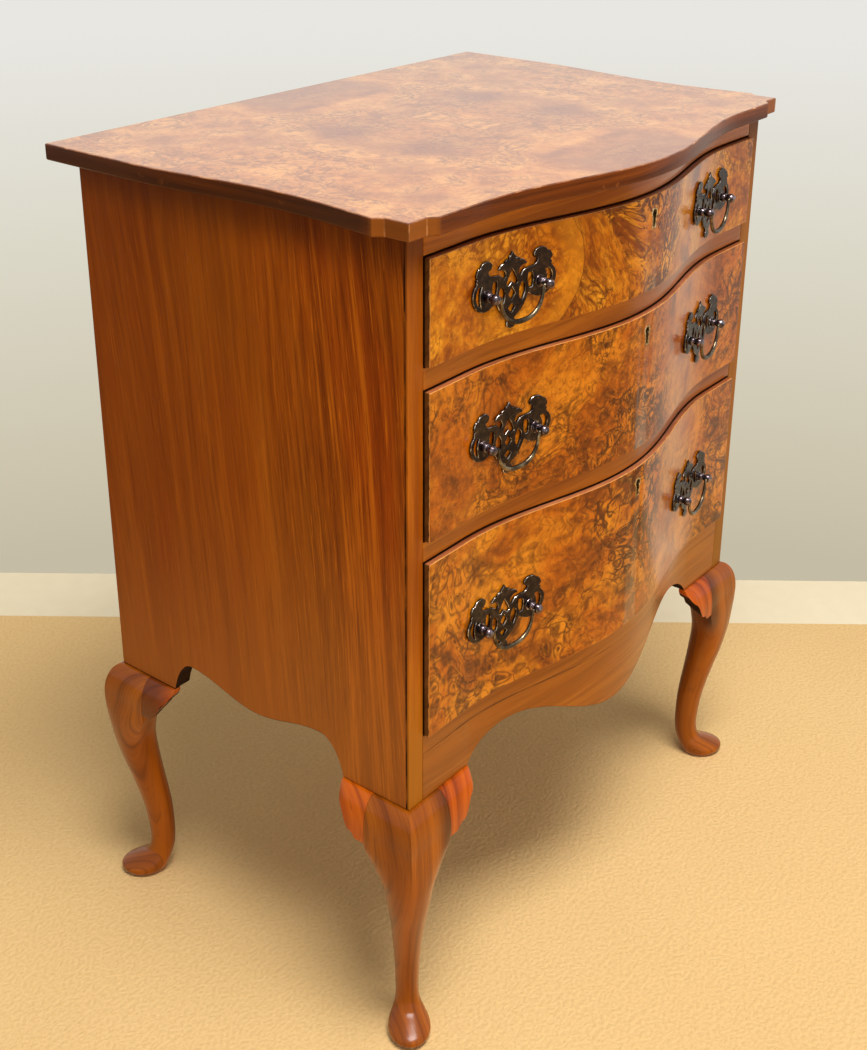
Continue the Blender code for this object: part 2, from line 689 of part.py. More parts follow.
def mirrored(points):
    return [(-u, v) for u, v in reversed(points)]


def plate_loops():
    right = list(PLATE_OUTLINE)
    loops = [right + mirrored(right[1:-1])]
    for piercing in SIDE_PIERCINGS:
        loops += [list(piercing), mirrored(piercing)]
    loops += [list(piercing) for piercing in MIDDLE_PIERCINGS]
    return [[(u * PLATE_UNIT, v * PLATE_UNIT) for u, v in loop] for loop in loops]


def post_profile():
    """A post from the plate outwards, as (distance from the plate, radius): bead, neck and ball."""
    bead_top = POST_REACH - POST_BALL
    profile = []
    for turn in BEAD_TURNS:
        out = bead_top * (1.0 - math.cos(math.radians(turn))) / 2
        profile.append((out, POST_NECK + (POST_BEAD - POST_NECK) * math.sin(math.radians(turn))))
    profile.append((bead_top, POST_NECK))
    for turn in BALL_TURNS:
        out = POST_REACH - POST_BALL * math.cos(math.radians(turn))
        profile.append((out, POST_BALL * math.sin(math.radians(turn))))
    return profile


def ring_edges(skin, verts):
    return [skin.edges.new((verts[i], verts[(i + 1) % len(verts)])) for i in range(len(verts))]


def make_plate(name, frame, material, drawer):
    """A pierced back plate bent to the front, with its two posts."""
    skin = bmesh.new()
    face_edges, back_edges = [], []
    for loop in plate_loops():
        face = [skin.verts.new(frame.on_plate(u, v, PLATE_FACE)) for u, v in loop]
        back = [skin.verts.new(frame.on_plate(u, v, PLATE_BACK)) for u, v in loop]
        face_edges += ring_edges(skin, face)
        back_edges += ring_edges(skin, back)
        for i in range(len(loop)):
            j = (i + 1) % len(loop)
            skin.faces.new((face[i], face[j], back[j], back[i]))
    for across, foot in zip((-POST_CENTRES / 2, POST_CENTRES / 2), frame.feet):
        turns = [2 * math.pi * i / POST_SIDES for i in range(POST_SIDES)]
        base = [(across + POST_BASE * math.cos(turn), POST_BASE * math.sin(turn)) for turn in turns]
        row = [skin.verts.new(frame.on_plate(u, v, PLATE_FACE)) for u, v in base]
        face_edges += ring_edges(skin, row)
        for out, radius in post_profile():
            following = []
            for turn in turns:
                point = frame.beside(foot, radius * math.cos(turn), out, radius * math.sin(turn))
                following.append(skin.verts.new(point))
            for i in range(POST_SIDES):
                j = (i + 1) % POST_SIDES
                skin.faces.new((row[i], row[j], following[j], following[i]))
            row = following
        skin.faces.new(row)
    for edges in (face_edges, back_edges):
        bmesh.ops.triangle_fill(skin, use_beauty=True, use_dissolve=False, edges=edges, normal=frame.outward)
    place(name, skin, material, drawer, (frame.feet[0] + frame.feet[1]) / 2)


def bail_path():
    """A bail's centre line as (across, up, radius), from the left pivot round to the right one."""
    pin = POST_CENTRES / 2 - POST_BALL - FIT
    half = [(pin, 0.0), ((pin + BAIL_HALF_WIDTH) / 2, 0.0)]
    for i in range(BAIL_STEPS + 1):
        turn = math.radians(BAIL_SHOULDER + (90 - BAIL_SHOULDER) * i / BAIL_STEPS)
        power = 2.0 / BAIL_SQUARENESS
        half.append((BAIL_HALF_WIDTH * math.cos(turn) ** power, -BAIL_DROP * math.sin(turn) ** power))
    half[-1] = (0.0, half[-1][1])
    whole = [(-across, up) for across, up in half] + list(reversed(half[:-1]))
    thicker = BAIL_MIDDLE - BAIL_END
    return [(across, up, BAIL_END + thicker * (up / BAIL_DROP) ** 2) for across, up in whole]


def make_bail(name, frame, material, drawer):
    path = bail_path()
    rings = []
    for i, (across, up, radius) in enumerate(path):
        before, after = path[max(i - 1, 0)], path[min(i + 1, len(path) - 1)]
        heading = math.atan2(after[1] - before[1], after[0] - before[0])
        if i in (0, len(path) - 1):
            heading = 0.0
        ring = []
        for j in range(BAIL_SIDES):
            turn = 2 * math.pi * j / BAIL_SIDES
            side = radius * math.cos(turn)
            ring.append(frame.beside(
                frame.pivot,
                across - side * math.sin(heading),
                radius * math.sin(turn),
                up + side * math.cos(heading),
            ))
        rings.append(ring)
    place(name, loft(rings), material, drawer, frame.pivot, smooth=True)


def make_drawer(word, low, high, handle_drop, rail, chest, materials):
    """One drawer between two heights of its opening, with the rail over it."""
    burr, lining, brass, steel = materials
    drawer = make_empty(word + "_drawer", (0.0, 0.0, low), chest)
    front_low, front_high = low + DRAWER_GAP, high - DRAWER_GAP
    front = serpentine(
        DRAWER_HALF,
        FRONT_PROUD,
        lambda x: FRONT_THICKNESS - FRONT_PROUD - swell(x),
        lambda x: front_low,
        front_high,
    )
    front = place(word + "_drawer_front", front, burr, drawer, (0.0, 0.0, front_low))
    for cutter in make_lock(word, front_high, rail, drawer, (brass, steel)):
        cut(front, cutter)
    make_box(word, low, high, drawer, lining)
    handle_height = (front_low + front_high) / 2 - handle_drop
    for side, side_word in ((-1, "left"), (1, "right")):
        frame = HandleFrame(side, handle_height)
        make_plate(word + "_handle_" + side_word, frame, brass, drawer)
        make_bail(word + "_bail_" + side_word, frame, brass, drawer)


def centre_chest(chest):
    """Moves the chest so that the middle of its depth is at y = 0."""
    bpy.context.view_layer.update()
    places = []
    for obj in bpy.data.objects:
        if obj.type == "MESH" and not obj.hide_render:
            places += [(obj.matrix_world @ vert.co).y for vert in obj.data.vertices]
    chest.location.y = -(min(places) + max(places)) / 2


def main():
    clear_scene()
    burr = make_material("burr_walnut", (0.42, 0.17, 0.035), 0.25)
    walnut = make_material("walnut", (0.30, 0.11, 0.028), 0.30)
    lining = make_material("lining_wood", (0.50, 0.36, 0.20), 0.60)
    brass = make_material("aged_brass", (0.10, 0.07, 0.04), 0.35, 0.9)
    steel = make_material("lock_steel", (0.35, 0.33, 0.30), 0.45, 0.9)
    chest = make_empty("chest", (0.0, 0.0, 0.0))
    rails = make_carcass(chest, walnut, lining)
    make_top(chest, burr)
    make_stand(chest, walnut)
    materials = (burr, lining, brass, steel)
    for word, low, high, drop, rail in (
        ("lower", BOTTOM_RAIL_TOP, LOWER_OPENING_TOP, LOWER_HANDLE_DROP, "lower_rail"),
        ("middle", LOWER_RAIL_TOP, MIDDLE_OPENING_TOP, MIDDLE_HANDLE_DROP, "upper_rail"),
        ("upper", UPPER_RAIL_TOP, UPPER_OPENING_TOP, UPPER_HANDLE_DROP, "top_rail"),
    ):
        make_drawer(word, low, high, drop, rails[rail], chest, materials)
    centre_chest(chest)


main()
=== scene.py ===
import json
import math

import bpy
from mathutils import Matrix, Vector


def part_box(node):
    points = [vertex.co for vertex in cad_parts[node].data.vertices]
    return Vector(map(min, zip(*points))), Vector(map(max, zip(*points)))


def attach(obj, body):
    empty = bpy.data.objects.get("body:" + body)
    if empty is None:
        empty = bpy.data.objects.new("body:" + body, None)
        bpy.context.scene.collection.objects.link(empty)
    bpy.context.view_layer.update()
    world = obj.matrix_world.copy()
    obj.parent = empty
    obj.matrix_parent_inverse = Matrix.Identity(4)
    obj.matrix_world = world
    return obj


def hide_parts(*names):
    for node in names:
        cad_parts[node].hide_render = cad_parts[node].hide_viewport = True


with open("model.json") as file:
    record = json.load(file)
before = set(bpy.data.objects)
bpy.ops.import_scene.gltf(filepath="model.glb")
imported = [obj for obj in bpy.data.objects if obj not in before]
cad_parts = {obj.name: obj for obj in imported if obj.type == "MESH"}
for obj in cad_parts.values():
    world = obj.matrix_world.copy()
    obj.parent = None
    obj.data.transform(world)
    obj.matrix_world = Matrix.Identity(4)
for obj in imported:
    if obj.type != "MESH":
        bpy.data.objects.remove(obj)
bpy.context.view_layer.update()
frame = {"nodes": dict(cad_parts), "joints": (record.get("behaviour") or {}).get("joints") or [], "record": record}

# Places in the frame, read from the CAD nodes. Chest places count y from the front face of the stiles.
FACE_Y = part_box("front_stile_left")[0].y
BACK_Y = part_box("back_panel")[1].y
DEPTH = BACK_Y - FACE_Y
INNER_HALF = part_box("side_panel_right")[0].x
HALF_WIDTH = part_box("side_panel_right")[1].x
DRAWER_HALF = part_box("upper_drawer_front")[1].x
CARCASS_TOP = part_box("side_panel_right")[1].z
LEG_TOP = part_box("ear_front_left_side")[1].z
FIT = 0.0003

# Serpentine front
SWELL = 0.0335
SWELL_REACH = 0.196
FRONT_PROUD = 0.0058
FRONT_THICKNESS = 0.020
APRON_THICKNESS = 0.018

# Shaped lower edges
FRONT_CROWN = (0.130, 0.0245, 0.039)
SIDE_CROWN = (0.0975, 0.0335, 0.0143)
ARCH_START = math.radians(25.0)
FRONT_EAR_REACH = 0.078
SIDE_EAR_REACH = 0.072

# Top
SIDE_OVERHANG = 0.020
SIDE_DIP = 0.0125
DIP_PLACE = 0.115
DIP_REACH = 0.150
FRONT_OVERHANG = 0.0163
BACK_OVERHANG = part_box("top")[1].y - BACK_Y
BLOCK_OVERHANG = 0.0106
BLOCK_WIDTH = 0.0196
BLOCK_DEPTH = 0.0219
BLOCK_CANT = 0.007

# Profile of the top's edge: insets with the rise above its lower face, then the drop below its upper one
TOP_LOWER_EDGE = ((0.0016, 0.0), (0.0007, 0.0004), (0.0002, 0.0010), (0.0, 0.0018))
TOP_UPPER_EDGE = ((0.0, 0.0009), (0.0003, 0.0003), (0.0009, 0.0))

# Legs and ears
LEG_BLOCK = 0.038
KNEE_REACH = 0.0203
KNEE_LEVEL = LEG_TOP - 0.033
KNEE_BACK = 0.042
POST_INSET = 0.003
POST_RISE = 0.040
SIDE_THICKNESS = HALF_WIDTH - INNER_HALF
BACK_THICKNESS = 0.008
EAR_TIP = 0.0100
EAR_END = 0.004
EAR_CURVE = 1.35
EAR_SCALLOP = 0.055
EAR_BACK = 0.006
EAR_BACK_RISE = 0.25
EAR_ROUND = 0.009
EAR_FLATTENING = 0.75
FRONT_EAR_DROP = 0.043
REAR_EAR_DROP = 0.036

# Sections of a leg from the knee down: height in parts of the leg, then, in parts of the block's side along
# the diagonal, front, back, half width and its place, then how square (1) or round (2) front and back are.
LEG_PATTERN = (
    (0.811, 0.524, -0.908, 0.968, -0.445, 1.15, 1.0),
    (0.782, 0.505, -0.789, 0.892, -0.392, 1.25, 1.2),
    (0.741, 0.468, -0.716, 0.763, -0.321, 1.45, 1.5),
    (0.671, 0.389, -0.658, 0.574, -0.171, 1.70, 1.8),
    (0.568, 0.224, -0.711, 0.468, -0.224, 1.90, 2.0),
    (0.481, 0.053, -0.784, 0.400, -0.363, 2.00, 2.0),
    (0.329, -0.197, -0.921, 0.318, -0.558, 2.00, 2.0),
    (0.198, -0.303, -0.955, 0.278, -0.626, 2.00, 2.0),
    (0.125, -0.285, -0.925, 0.272, -0.605, 2.00, 2.0),
    (0.086, -0.150, -0.865, 0.310, -0.510, 2.00, 2.0),
    (0.064, 0.165, -0.815, 0.395, -0.330, 2.00, 2.0),
    (0.043, 0.455, -0.760, 0.480, -0.165, 2.00, 2.0),
    (0.026, 0.502, -0.722, 0.495, -0.108, 2.00, 2.0),
    (0.010, 0.440, -0.655, 0.452, -0.105, 2.00, 2.0),
    (0.000, 0.342, -0.566, 0.368, -0.105, 2.00, 2.0),
)

# Handle plate in millimetres from the middle of the post line: the right half of its rim from the crown's
# tip to the foot of the pendant, then the piercings.
PLATE_RIM = (
    (0.0, 29.5), (1.9, 26.6), (3.6, 24.9), (3.5, 23.6), (5.6, 23.9), (7.9, 22.6), (7.9, 21.2),
    (10.4, 21.4), (13.0, 19.8), (15.0, 18.0), (14.2, 16.6), (11.2, 16.6), (8.2, 15.0), (6.6, 11.0),
    (8.8, 8.5), (11.6, 12.0), (16.5, 13.6), (24.6, 15.2), (26.4, 18.4), (23.0, 20.2), (21.8, 23.4),
    (24.4, 26.2), (30.0, 27.2), (34.6, 25.2), (35.6, 23.4), (37.6, 23.2), (39.8, 20.4), (40.4, 17.4),
    (38.8, 15.6), (40.2, 14.0), (39.8, 12.2), (43.0, 8.0), (44.6, 2.5), (43.2, -3.5), (39.4, -8.6),
    (34.0, -11.6), (28.0, -12.4),
    (22.0, -10.4), (17.0, -7.4), (14.8, -12.2), (10.4, -18.6), (4.6, -22.8), (2.8, -24.6), (4.9, -27.4),
    (4.2, -30.6), (0.0, -32.2),
)
SIDE_PIERCINGS = (
    (
        (33.6, 8.4), (37.2, 9.2), (40.0, 5.6), (40.4, 0.8),
        (38.2, -4.4), (34.6, -7.4), (35.8, -2.4), (35.6, 3.4),
    ),
    ((16.6, 9.2), (20.6, 9.0), (21.6, 5.0), (21.0, -3.0), (18.0, -3.4), (16.2, 3.0)),
    ((10.4, 3.4), (13.2, 1.0), (13.8, -4.0), (10.6, -12.4), (8.0, -8.0), (7.8, -1.6)),
)
MIDDLE_PIERCINGS = (
    ((0.0, 15.6), (3.2, 10.4), (6.2, 3.6), (3.4, 2.4), (0.0, 5.6), (-3.4, 2.4), (-6.2, 3.6), (-3.2, 10.4)),
    ((0.0, 1.0), (3.6, -4.6), (0.0, -9.4), (-3.6, -4.6)),
    ((0.0, -12.2), (3.8, -15.4), (0.0, -20.0), (-3.8, -15.4)),
)

# Handles
HANDLE_PLACE = DRAWER_HALF - 0.092
POST_CENTRES = 0.057
PLATE_BACK = FRONT_PROUD + 0.00045
PLATE_THICKNESS = 0.0020
PLATE_ROUNDING = 0.00070
PLATE_BEND = 0.042
POST_REACH = 0.0095
POST_BASE = 0.0052
POST_BEAD = 0.0040
POST_NECK = 0.0027
POST_BALL = 0.0043
BAIL_DROP = 0.0232
BAIL_HALF_WIDTH = 0.0226
BAIL_END = 0.0014
BAIL_MIDDLE = 0.0021
BAIL_SQUARENESS = 2.4
BAIL_SHOULDER = 8.0

# Locks
KEYHOLE_DROP = 0.020
KEYHOLE_HEIGHT = 0.0175
KEYHOLE_HEAD = 0.0046
KEYHOLE_FOOT = 0.0030
KEYHOLE_WALL = 0.0013
ESCUTCHEON_DEPTH = 0.006
ESCUTCHEON_ROUNDING = 0.0003
MORTISE_MARGIN = 0.0015
MORTISE_DEPTH = 0.008

# Steps along the curves, and how far edges are eased
FRONT_STEPS = 100
ARCH_STEPS = 14
BELLY_STEPS = 24
STILE_STEPS = 20
TOP_FRONT_STEPS = 44
TOP_SIDE_STEPS = 48
KNEE_STEPS = 12
LEG_STEPS = 4
LEG_SIDES = 64
EAR_STEPS = 18
EAR_ROUND_STEPS = 8
KEYHOLE_STEPS = 24
PLATE_CUTS = 14
BEAD_STEPS = 8
BALL_STEPS = 14
POST_SIDES = 24
BAIL_STEPS = 36
BAIL_SIDES = 16
RAIL_EASING = 0.0009
FLUSH_EASING = 0.0003
PANEL_EASING = 0.0007
STRIP_EASING = 0.0006
FRONT_EASING = 0.0008

# Slopes and depths that tell one finish of a piece from another
UNDERSIDE_TILT = -0.3
EAR_UNDERSIDE_TILT = -0.45
TOP_FACE_TILT = 0.98
TOP_ARRIS_TILT = 0.2
VENEER_DEPTH = 0.0012
VENEER_TILT = -0.88
DRAWER_END = 0.001
LINED_TILT = 0.9
POST_START = 0.0002
RUBBED_TILTS = (0.30, 0.93)

# Figure of the woods
BURR_FIGURE = 0.95
VEIN_WIDTH = 0.013
JOINT_PLACE = 0.079
LEAF_STEP = 4.0
# Colour of the painted shade under the top's overhang
UNDER_TOP_SHADE = (64, 24, 3)
TAIL_PITCH = 0.026
NAIL_REACH = 0.245

# Camera: its place, its yaw, pitch and roll in degrees, and its lens in pixels of the picture
CAMERA_PLACE = Vector((-1.0228, FACE_Y - 0.6255, 1.0292))
CAMERA_TURN = (52.5347, 22.4772, 0.5818)
PICTURE_WIDTH = 867
PICTURE_HEIGHT = 1050
FOCAL_LENGTH = 1474.28
LENS_CENTRE = (456.72, 383.44)
SENSOR = 36.0

# Floor, counted from below the camera, and the lamps' colour
FLOOR_NEAR = -3.0
FLOOR_LINE = 1.673
FLOOR_FAR = 1.785
FLOOR_HALF = 4.0
WARM_WHITE = (1.0, 0.98, 0.95)

SIDES = {"left": -1, "right": 1}
DRAWERS = ("upper", "middle", "lower")
RAIL_OVER = {"upper": "top_rail", "middle": "upper_rail", "lower": "lower_rail"}
BODY_OF = {node: body for body, nodes in frame["record"]["behaviour"]["bodies"].items() for node in nodes}
PIVOT_OF = {joint["child"]: Vector(joint["pos_m"]) for joint in frame["joints"] if "pos_m" in joint}


# Working with Blender's tools

def start_clean():
    """Object mode with nothing selected, so that the next operator acts on its own piece only."""
    if bpy.context.object and bpy.context.object.mode != "OBJECT":
        bpy.ops.object.mode_set(mode="OBJECT")
    bpy.ops.object.select_all(action="DESELECT")


def take(piece):
    """Selects one piece alone and makes it the active one."""
    start_clean()
    piece.select_set(True)
    bpy.context.view_layer.objects.active = piece


def work(piece, kind, **settings):
    """Puts a modifier on a piece and applies it."""
    take(piece)
    modifier = piece.modifiers.new(kind.lower(), kind)
    for setting, value in settings.items():
        setattr(modifier, setting, value)
    bpy.ops.object.modifier_apply(modifier=modifier.name)


def open_unselected(piece, kind):
    """Opens a piece in edit mode with nothing selected, picking points, edges or faces."""
    take(piece)
    bpy.context.tool_settings.mesh_select_mode = (kind == "VERT", kind == "EDGE", kind == "FACE")
    bpy.ops.object.mode_set(mode="EDIT")
    bpy.ops.mesh.select_all(action="DESELECT")


def face_outwards(piece):
    open_unselected(piece, "FACE")
    bpy.ops.mesh.select_all(action="SELECT")
    bpy.ops.mesh.normals_make_consistent(inside=False)
    bpy.ops.object.mode_set(mode="OBJECT")


def skin(name, rings):
    """A closed piece through rings of equal count: a cylinder cut into steps and laid on the rings."""
    count = len(rings[0])
    steps = len(rings)
    start_clean()
    bpy.ops.mesh.primitive_cylinder_add(vertices=count, radius=1.0, depth=2.0, end_fill_type="NGON")
    piece = bpy.context.object
    piece.name = name
    piece.data.name = name
    if steps > 2:
        open_unselected(piece, "EDGE")
        bpy.ops.object.mode_set(mode="OBJECT")
        points = piece.data.vertices
        for edge in piece.data.edges:
            first, second = edge.vertices
            edge.select = abs(points[first].co.z - points[second].co.z) > 1.0
        bpy.ops.object.mode_set(mode="EDIT")
        bpy.ops.mesh.subdivide(number_cuts=steps - 2)
        bpy.ops.object.mode_set(mode="OBJECT")
    for point in piece.data.vertices:
        step = round((point.co.z + 1.0) / 2.0 * (steps - 1))
        turn = (math.pi / 2 - math.atan2(point.co.y, point.co.x)) / (2 * math.pi)
        point.co = rings[step][round(turn * count) % count]
    face_outwards(piece)
    return piece


def cube_cutter(low, high):
    """A block between two corners, for cutting another piece."""
    start_clean()
    middle = (Vector(low) + Vector(high)) / 2
    bpy.ops.mesh.primitive_cube_add(size=1.0, location=middle, scale=Vector(high) - Vector(low))
    return bpy.context.object


def cut(piece, cutter):
    """Takes a helper solid away from a piece and throws the helper away."""
    work(piece, "BOOLEAN", operation="DIFFERENCE", solver="EXACT", object=cutter)
    bpy.data.objects.remove(cutter, do_unlink=True)


def ease_edges(piece, width, segments=2, angle=40.0):
    """Takes the sharpness off the edges, as sanding does, and shades the faces flat between them."""
    work(
        piece, "BEVEL", width=width, segments=segments, limit_method="ANGLE",
        angle_limit=math.radians(angle), use_clamp_overlap=True, miter_outer="MITER_ARC",
    )
    shade(piece, angle)


def shade(piece, angle=40.0):
    take(piece)
    bpy.ops.object.shade_smooth_by_angle(angle=math.radians(angle))
    work(piece, "WEIGHTED_NORMAL", weight=50, keep_sharp=True)


def placed_copy(pattern, name, place):
    """A copy of a pattern, with each of its points where place puts it."""
    double = pattern.copy()
    double.data = pattern.data.copy()
    double.name = name
    double.data.name = name
    bpy.context.scene.collection.objects.link(double)
    for point in double.data.vertices:
        point.co = place(*point.co)
    face_outwards(double)
    return double


def join(first, *others):
    take(first)
    for other in others:
        other.select_set(True)
    bpy.ops.object.join()
    return first


def paint(piece, *finishes, choose=None):
    """Gives a piece its finishes, and each face the one that choose picks by the face's middle and normal."""
    piece.data.materials.clear()
    for finish in finishes:
        piece.data.materials.append(finish)
    for face in piece.data.polygons:
        face.material_index = choose(face.center, face.normal) if choose else 0


def stand_for(piece, node, *finishes, choose=None):
    """Paints a piece and puts it in the place of a CAD node."""
    paint(piece, *finishes, choose=choose)
    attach(piece, BODY_OF[node])
    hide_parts(node)


# Finishes

def tone(red, green, blue):
    """A colour from a 0 to 255 chart, in the linear values that a shader takes."""
    values = []
    for part in (red / 255, green / 255, blue / 255):
        values.append(part / 12.92 if part <= 0.04045 else ((part + 0.055) / 1.055) ** 2.4)
    return (*values, 1.0)


def reckoning(operation, swapped=False):
    """A way to reckon with one or two values of a node tree, done by a math node."""
    def reckon(first, second=0.0):
        values = (second, first) if swapped else (first, second)
        return first.nodes.add("Math", values, operation=operation)

    return reckon


class Field:
    """A value that varies over a node tree's places and is reckoned with like a number."""

    def __init__(self, nodes, socket):
        self.nodes = nodes
        self.socket = socket

    __add__ = __radd__ = reckoning("ADD")
    __mul__ = __rmul__ = reckoning("MULTIPLY")
    __sub__ = reckoning("SUBTRACT")
    __rsub__ = reckoning("SUBTRACT", swapped=True)
    __truediv__ = reckoning("DIVIDE")
    __abs__ = reckoning("ABSOLUTE")
    __gt__ = reckoning("GREATER_THAN")
    __lt__ = reckoning("LESS_THAN")
    larger = reckoning("MAXIMUM")
    smaller = reckoning("MINIMUM")
    floor = reckoning("FLOOR")
    fraction = reckoning("FRACT")
    root = reckoning("SQRT")
    sine = reckoning("SINE")
    cosine = reckoning("COSINE")

    def level(self, low, high, start=0.0, end=1.0):
        """Eases from start to end as the value goes from low to high, and holds it outside."""
        return self.nodes.add("MapRange", (self, low, high, start, end), interpolation_type="SMOOTHSTEP")


class Nodes:
    """A node tree. Each step adds a node and gives back its result, which the next step takes."""

    def __init__(self, owner):
        owner.use_nodes = True
        self.tree = owner.node_tree

    def feed(self, socket, value):
        if isinstance(value, Field):
            self.tree.links.new(value.socket, socket)
        else:
            socket.default_value = value

    def add(self, kind, inputs=(), output=0, **settings):
        """A new node, its inputs given by place or by name. Gives back the output or outputs asked for."""
        node = self.tree.nodes.new("ShaderNode" + kind)
        for setting, value in settings.items():
            setattr(node, setting, value)
        for key, value in inputs.items() if isinstance(inputs, dict) else enumerate(inputs):
            self.feed(node.inputs[key], value)
        if isinstance(output, tuple):
            return [Field(self, node.outputs[key]) for key in output]
        return Field(self, node.outputs[output])

    def parts(self, place):
        return self.add("SeparateXYZ", (place,), (0, 1, 2))

    def joined(self, x, y, z):
        return self.add("CombineXYZ", (x, y, z))

    def ramp(self, value, *stops):
        """Colours of the chart at their places along a value."""
        colours = self.add("ValToRGB", (value,))
        elements = colours.socket.node.color_ramp.elements
        while len(elements) < len(stops):
            elements.new(0.5)
        for element, (position, colour) in zip(elements, stops):
            element.position = position
            element.color = tone(*colour)
        return colours


class Finish(Nodes):
    """One material with the colour shown so far, which each stain changes."""

    def __init__(self, name, roughness, metallic=0.0, shine=0.5, coat=0.0, coat_roughness=0.1, coat_ior=1.4):
        self.material = bpy.data.materials.new(name)
        super().__init__(self.material)
        self.shader = self.tree.nodes["Principled BSDF"]
        values = {
            "Roughness": roughness, "Metallic": metallic, "Specular IOR Level": shine,
            "Coat Weight": coat, "Coat Roughness": coat_roughness, "Coat IOR": coat_ior,
        }
        for socket, value in values.items():
            self.shader.inputs[socket].default_value = value
        self.place = self.add("TexCoord", output="Object")
        self.shown = None

    def noise(self, place, scale, detail=2.0, rough=0.5, output=0):
        """Soft clouds over a place, which may be given as its three parts."""
        if isinstance(place, tuple):
            place = self.joined(*place)
        inputs = {"Vector": place, "Scale": scale, "Detail": detail, "Roughness": rough}
        return self.add("TexNoise", inputs, output)

    def pushed(self, place, scale, amount, detail=2.0):
        """Drifts a place sideways by a soft noise, up to the amount given."""
        drift = self.noise(place, scale, detail, output=1)
        centred = self.add("VectorMath", (drift, (0.5, 0.5, 0.5)), operation="SUBTRACT")
        scaled = self.add("VectorMath", {0: centred, "Scale": amount}, operation="SCALE")
        return self.add("VectorMath", (place, scaled), operation="ADD")

    def cells(self, place, scale):
        """Scattered spots: how far each point is from its spot, and a number of the spot's own."""
        inputs = {"Vector": place, "Scale": scale}
        away, colour = self.add("TexVoronoi", inputs, ("Distance", "Color"))
        return away, self.add("SeparateColor", (colour,))

    def rims(self, place, scale, width):
        """Thin lines round scattered cells."""
        inputs = {"Vector": place, "Scale": scale}
        away = self.add("TexVoronoi", inputs, "Distance", feature="DISTANCE_TO_EDGE")
        return away.level(width, width / 6)

    def mix(self, amount, first, second):
        """Goes from one colour or place to another as the amount goes from 0 to 1."""
        first, second = (value if isinstance(value, Field) else tone(*value) for value in (first, second))
        return self.add("Mix", {0: amount, 6: first, 7: second}, 2, data_type="RGBA")

    def stain(self, amount, colour):
        self.shown = self.mix(amount, self.shown, colour)

    def done(self, height=None, depth=0.0):
        """The material with its colour, and with bumps of a real depth in metres where a height is given."""
        self.feed(self.shader.inputs["Base Color"], self.shown)
        if height:
            bumps = self.add("Bump", {"Strength": 1.0, "Distance": depth, "Height": height})
            self.feed(self.shader.inputs["Normal"], bumps)
        return self.material


def burr_colours(wood, flat, figure, tones, open_figure):
    """The figure of burr veneer on a flat place: mottled gold, nested swirls and clusters of eyes."""
    dark, brown, gold, light = tones
    drifted = wood.pushed(flat, 9.0, 0.045, 1.0)
    curled = wood.pushed(wood.pushed(drifted, 26.0, 0.026), 75.0, 0.008)
    clouds = wood.noise(curled, 24.0, 5.0, 0.6)
    wood.shown = wood.ramp(clouds, (0.31, brown), (0.44, gold), (0.60, light))
    clusters = wood.noise(drifted, 12.0).level(0.42, 0.58)
    strong = (clusters * 0.68 + open_figure) * figure
    smoke = wood.noise(curled, 34.0, 5.0, 0.62).level(0.50, 0.64)
    wood.stain(smoke * strong, brown)
    fading = wood.noise(curled, 40.0).level(0.36, 0.60)
    swirls = ((drifted, 24.0, 58.0, 0.10, 0.90), (curled, 44.0, 54.0, 0.25, 0.80))
    for place, scale, turns, sharp, most in swirls:
        waves = (wood.noise(place, scale, 1.0) * turns).sine().level(sharp, 1.0)
        wood.stain(waves * (fading * most) * strong, dark)
    veins = abs(wood.noise(curled, 20.0, 4.0, 0.6) - 0.5).level(VEIN_WIDTH, VEIN_WIDTH / 12)
    wood.stain(veins * (strong * 0.8), dark)
    away, chance = wood.cells(wood.pushed(curled, 150.0, 0.003), 105.0)
    ring = abs(away - 0.46).level(0.12, 0.03) * 0.75
    eyes = away.level(0.30, 0.12).larger(ring) * chance.level(0.50, 0.56)
    wood.stain(eyes * strong, dark)
    patches = wood.noise(curled, 55.0).level(0.42, 0.62) * 0.85
    rims = wood.rims(wood.pushed(curled, 120.0, 0.006), 78.0, 0.10)
    wood.stain(rims * patches * strong, dark)
    away, chance = wood.cells(wood.pushed(flat, 60.0, 0.008), 165.0)
    dots = away.level(0.50, 0.10) * chance.level(0.38, 0.60)
    crowds = wood.noise(drifted, 15.0).level(0.42, 0.58, 0.10, 0.80)
    wood.stain(dots * crowds * figure, brown)
    mottle = wood.noise(wood.pushed(flat, 110.0, 0.007), 180.0, 4.0, 0.65)
    wood.stain(mottle.level(0.50, 0.36, 0.0, 0.55) * figure, brown)
    wood.stain(mottle.level(0.54, 0.68, 0.0, 0.45) * figure, light)
    pores = wood.noise(wood.pushed(flat, 300.0, 0.002, 1.0), 760.0)
    wood.stain(pores.level(0.59, 0.70, 0.0, 0.40), dark)
    return mottle


def veneer_joint(wood, x, z, height):
    """A curved joint left of the upper drawer's middle: how far right of it a point lies."""
    low, high = height
    up = z * (2.0 / (high - low)) - (high + low) / (high - low)
    bow = up * -0.0045 + (up * up * 0.019 + JOINT_PLACE)
    ragged = wood.noise(wood.place, 45.0, 3.0)
    return x + bow + (ragged * 0.006 - 0.003)


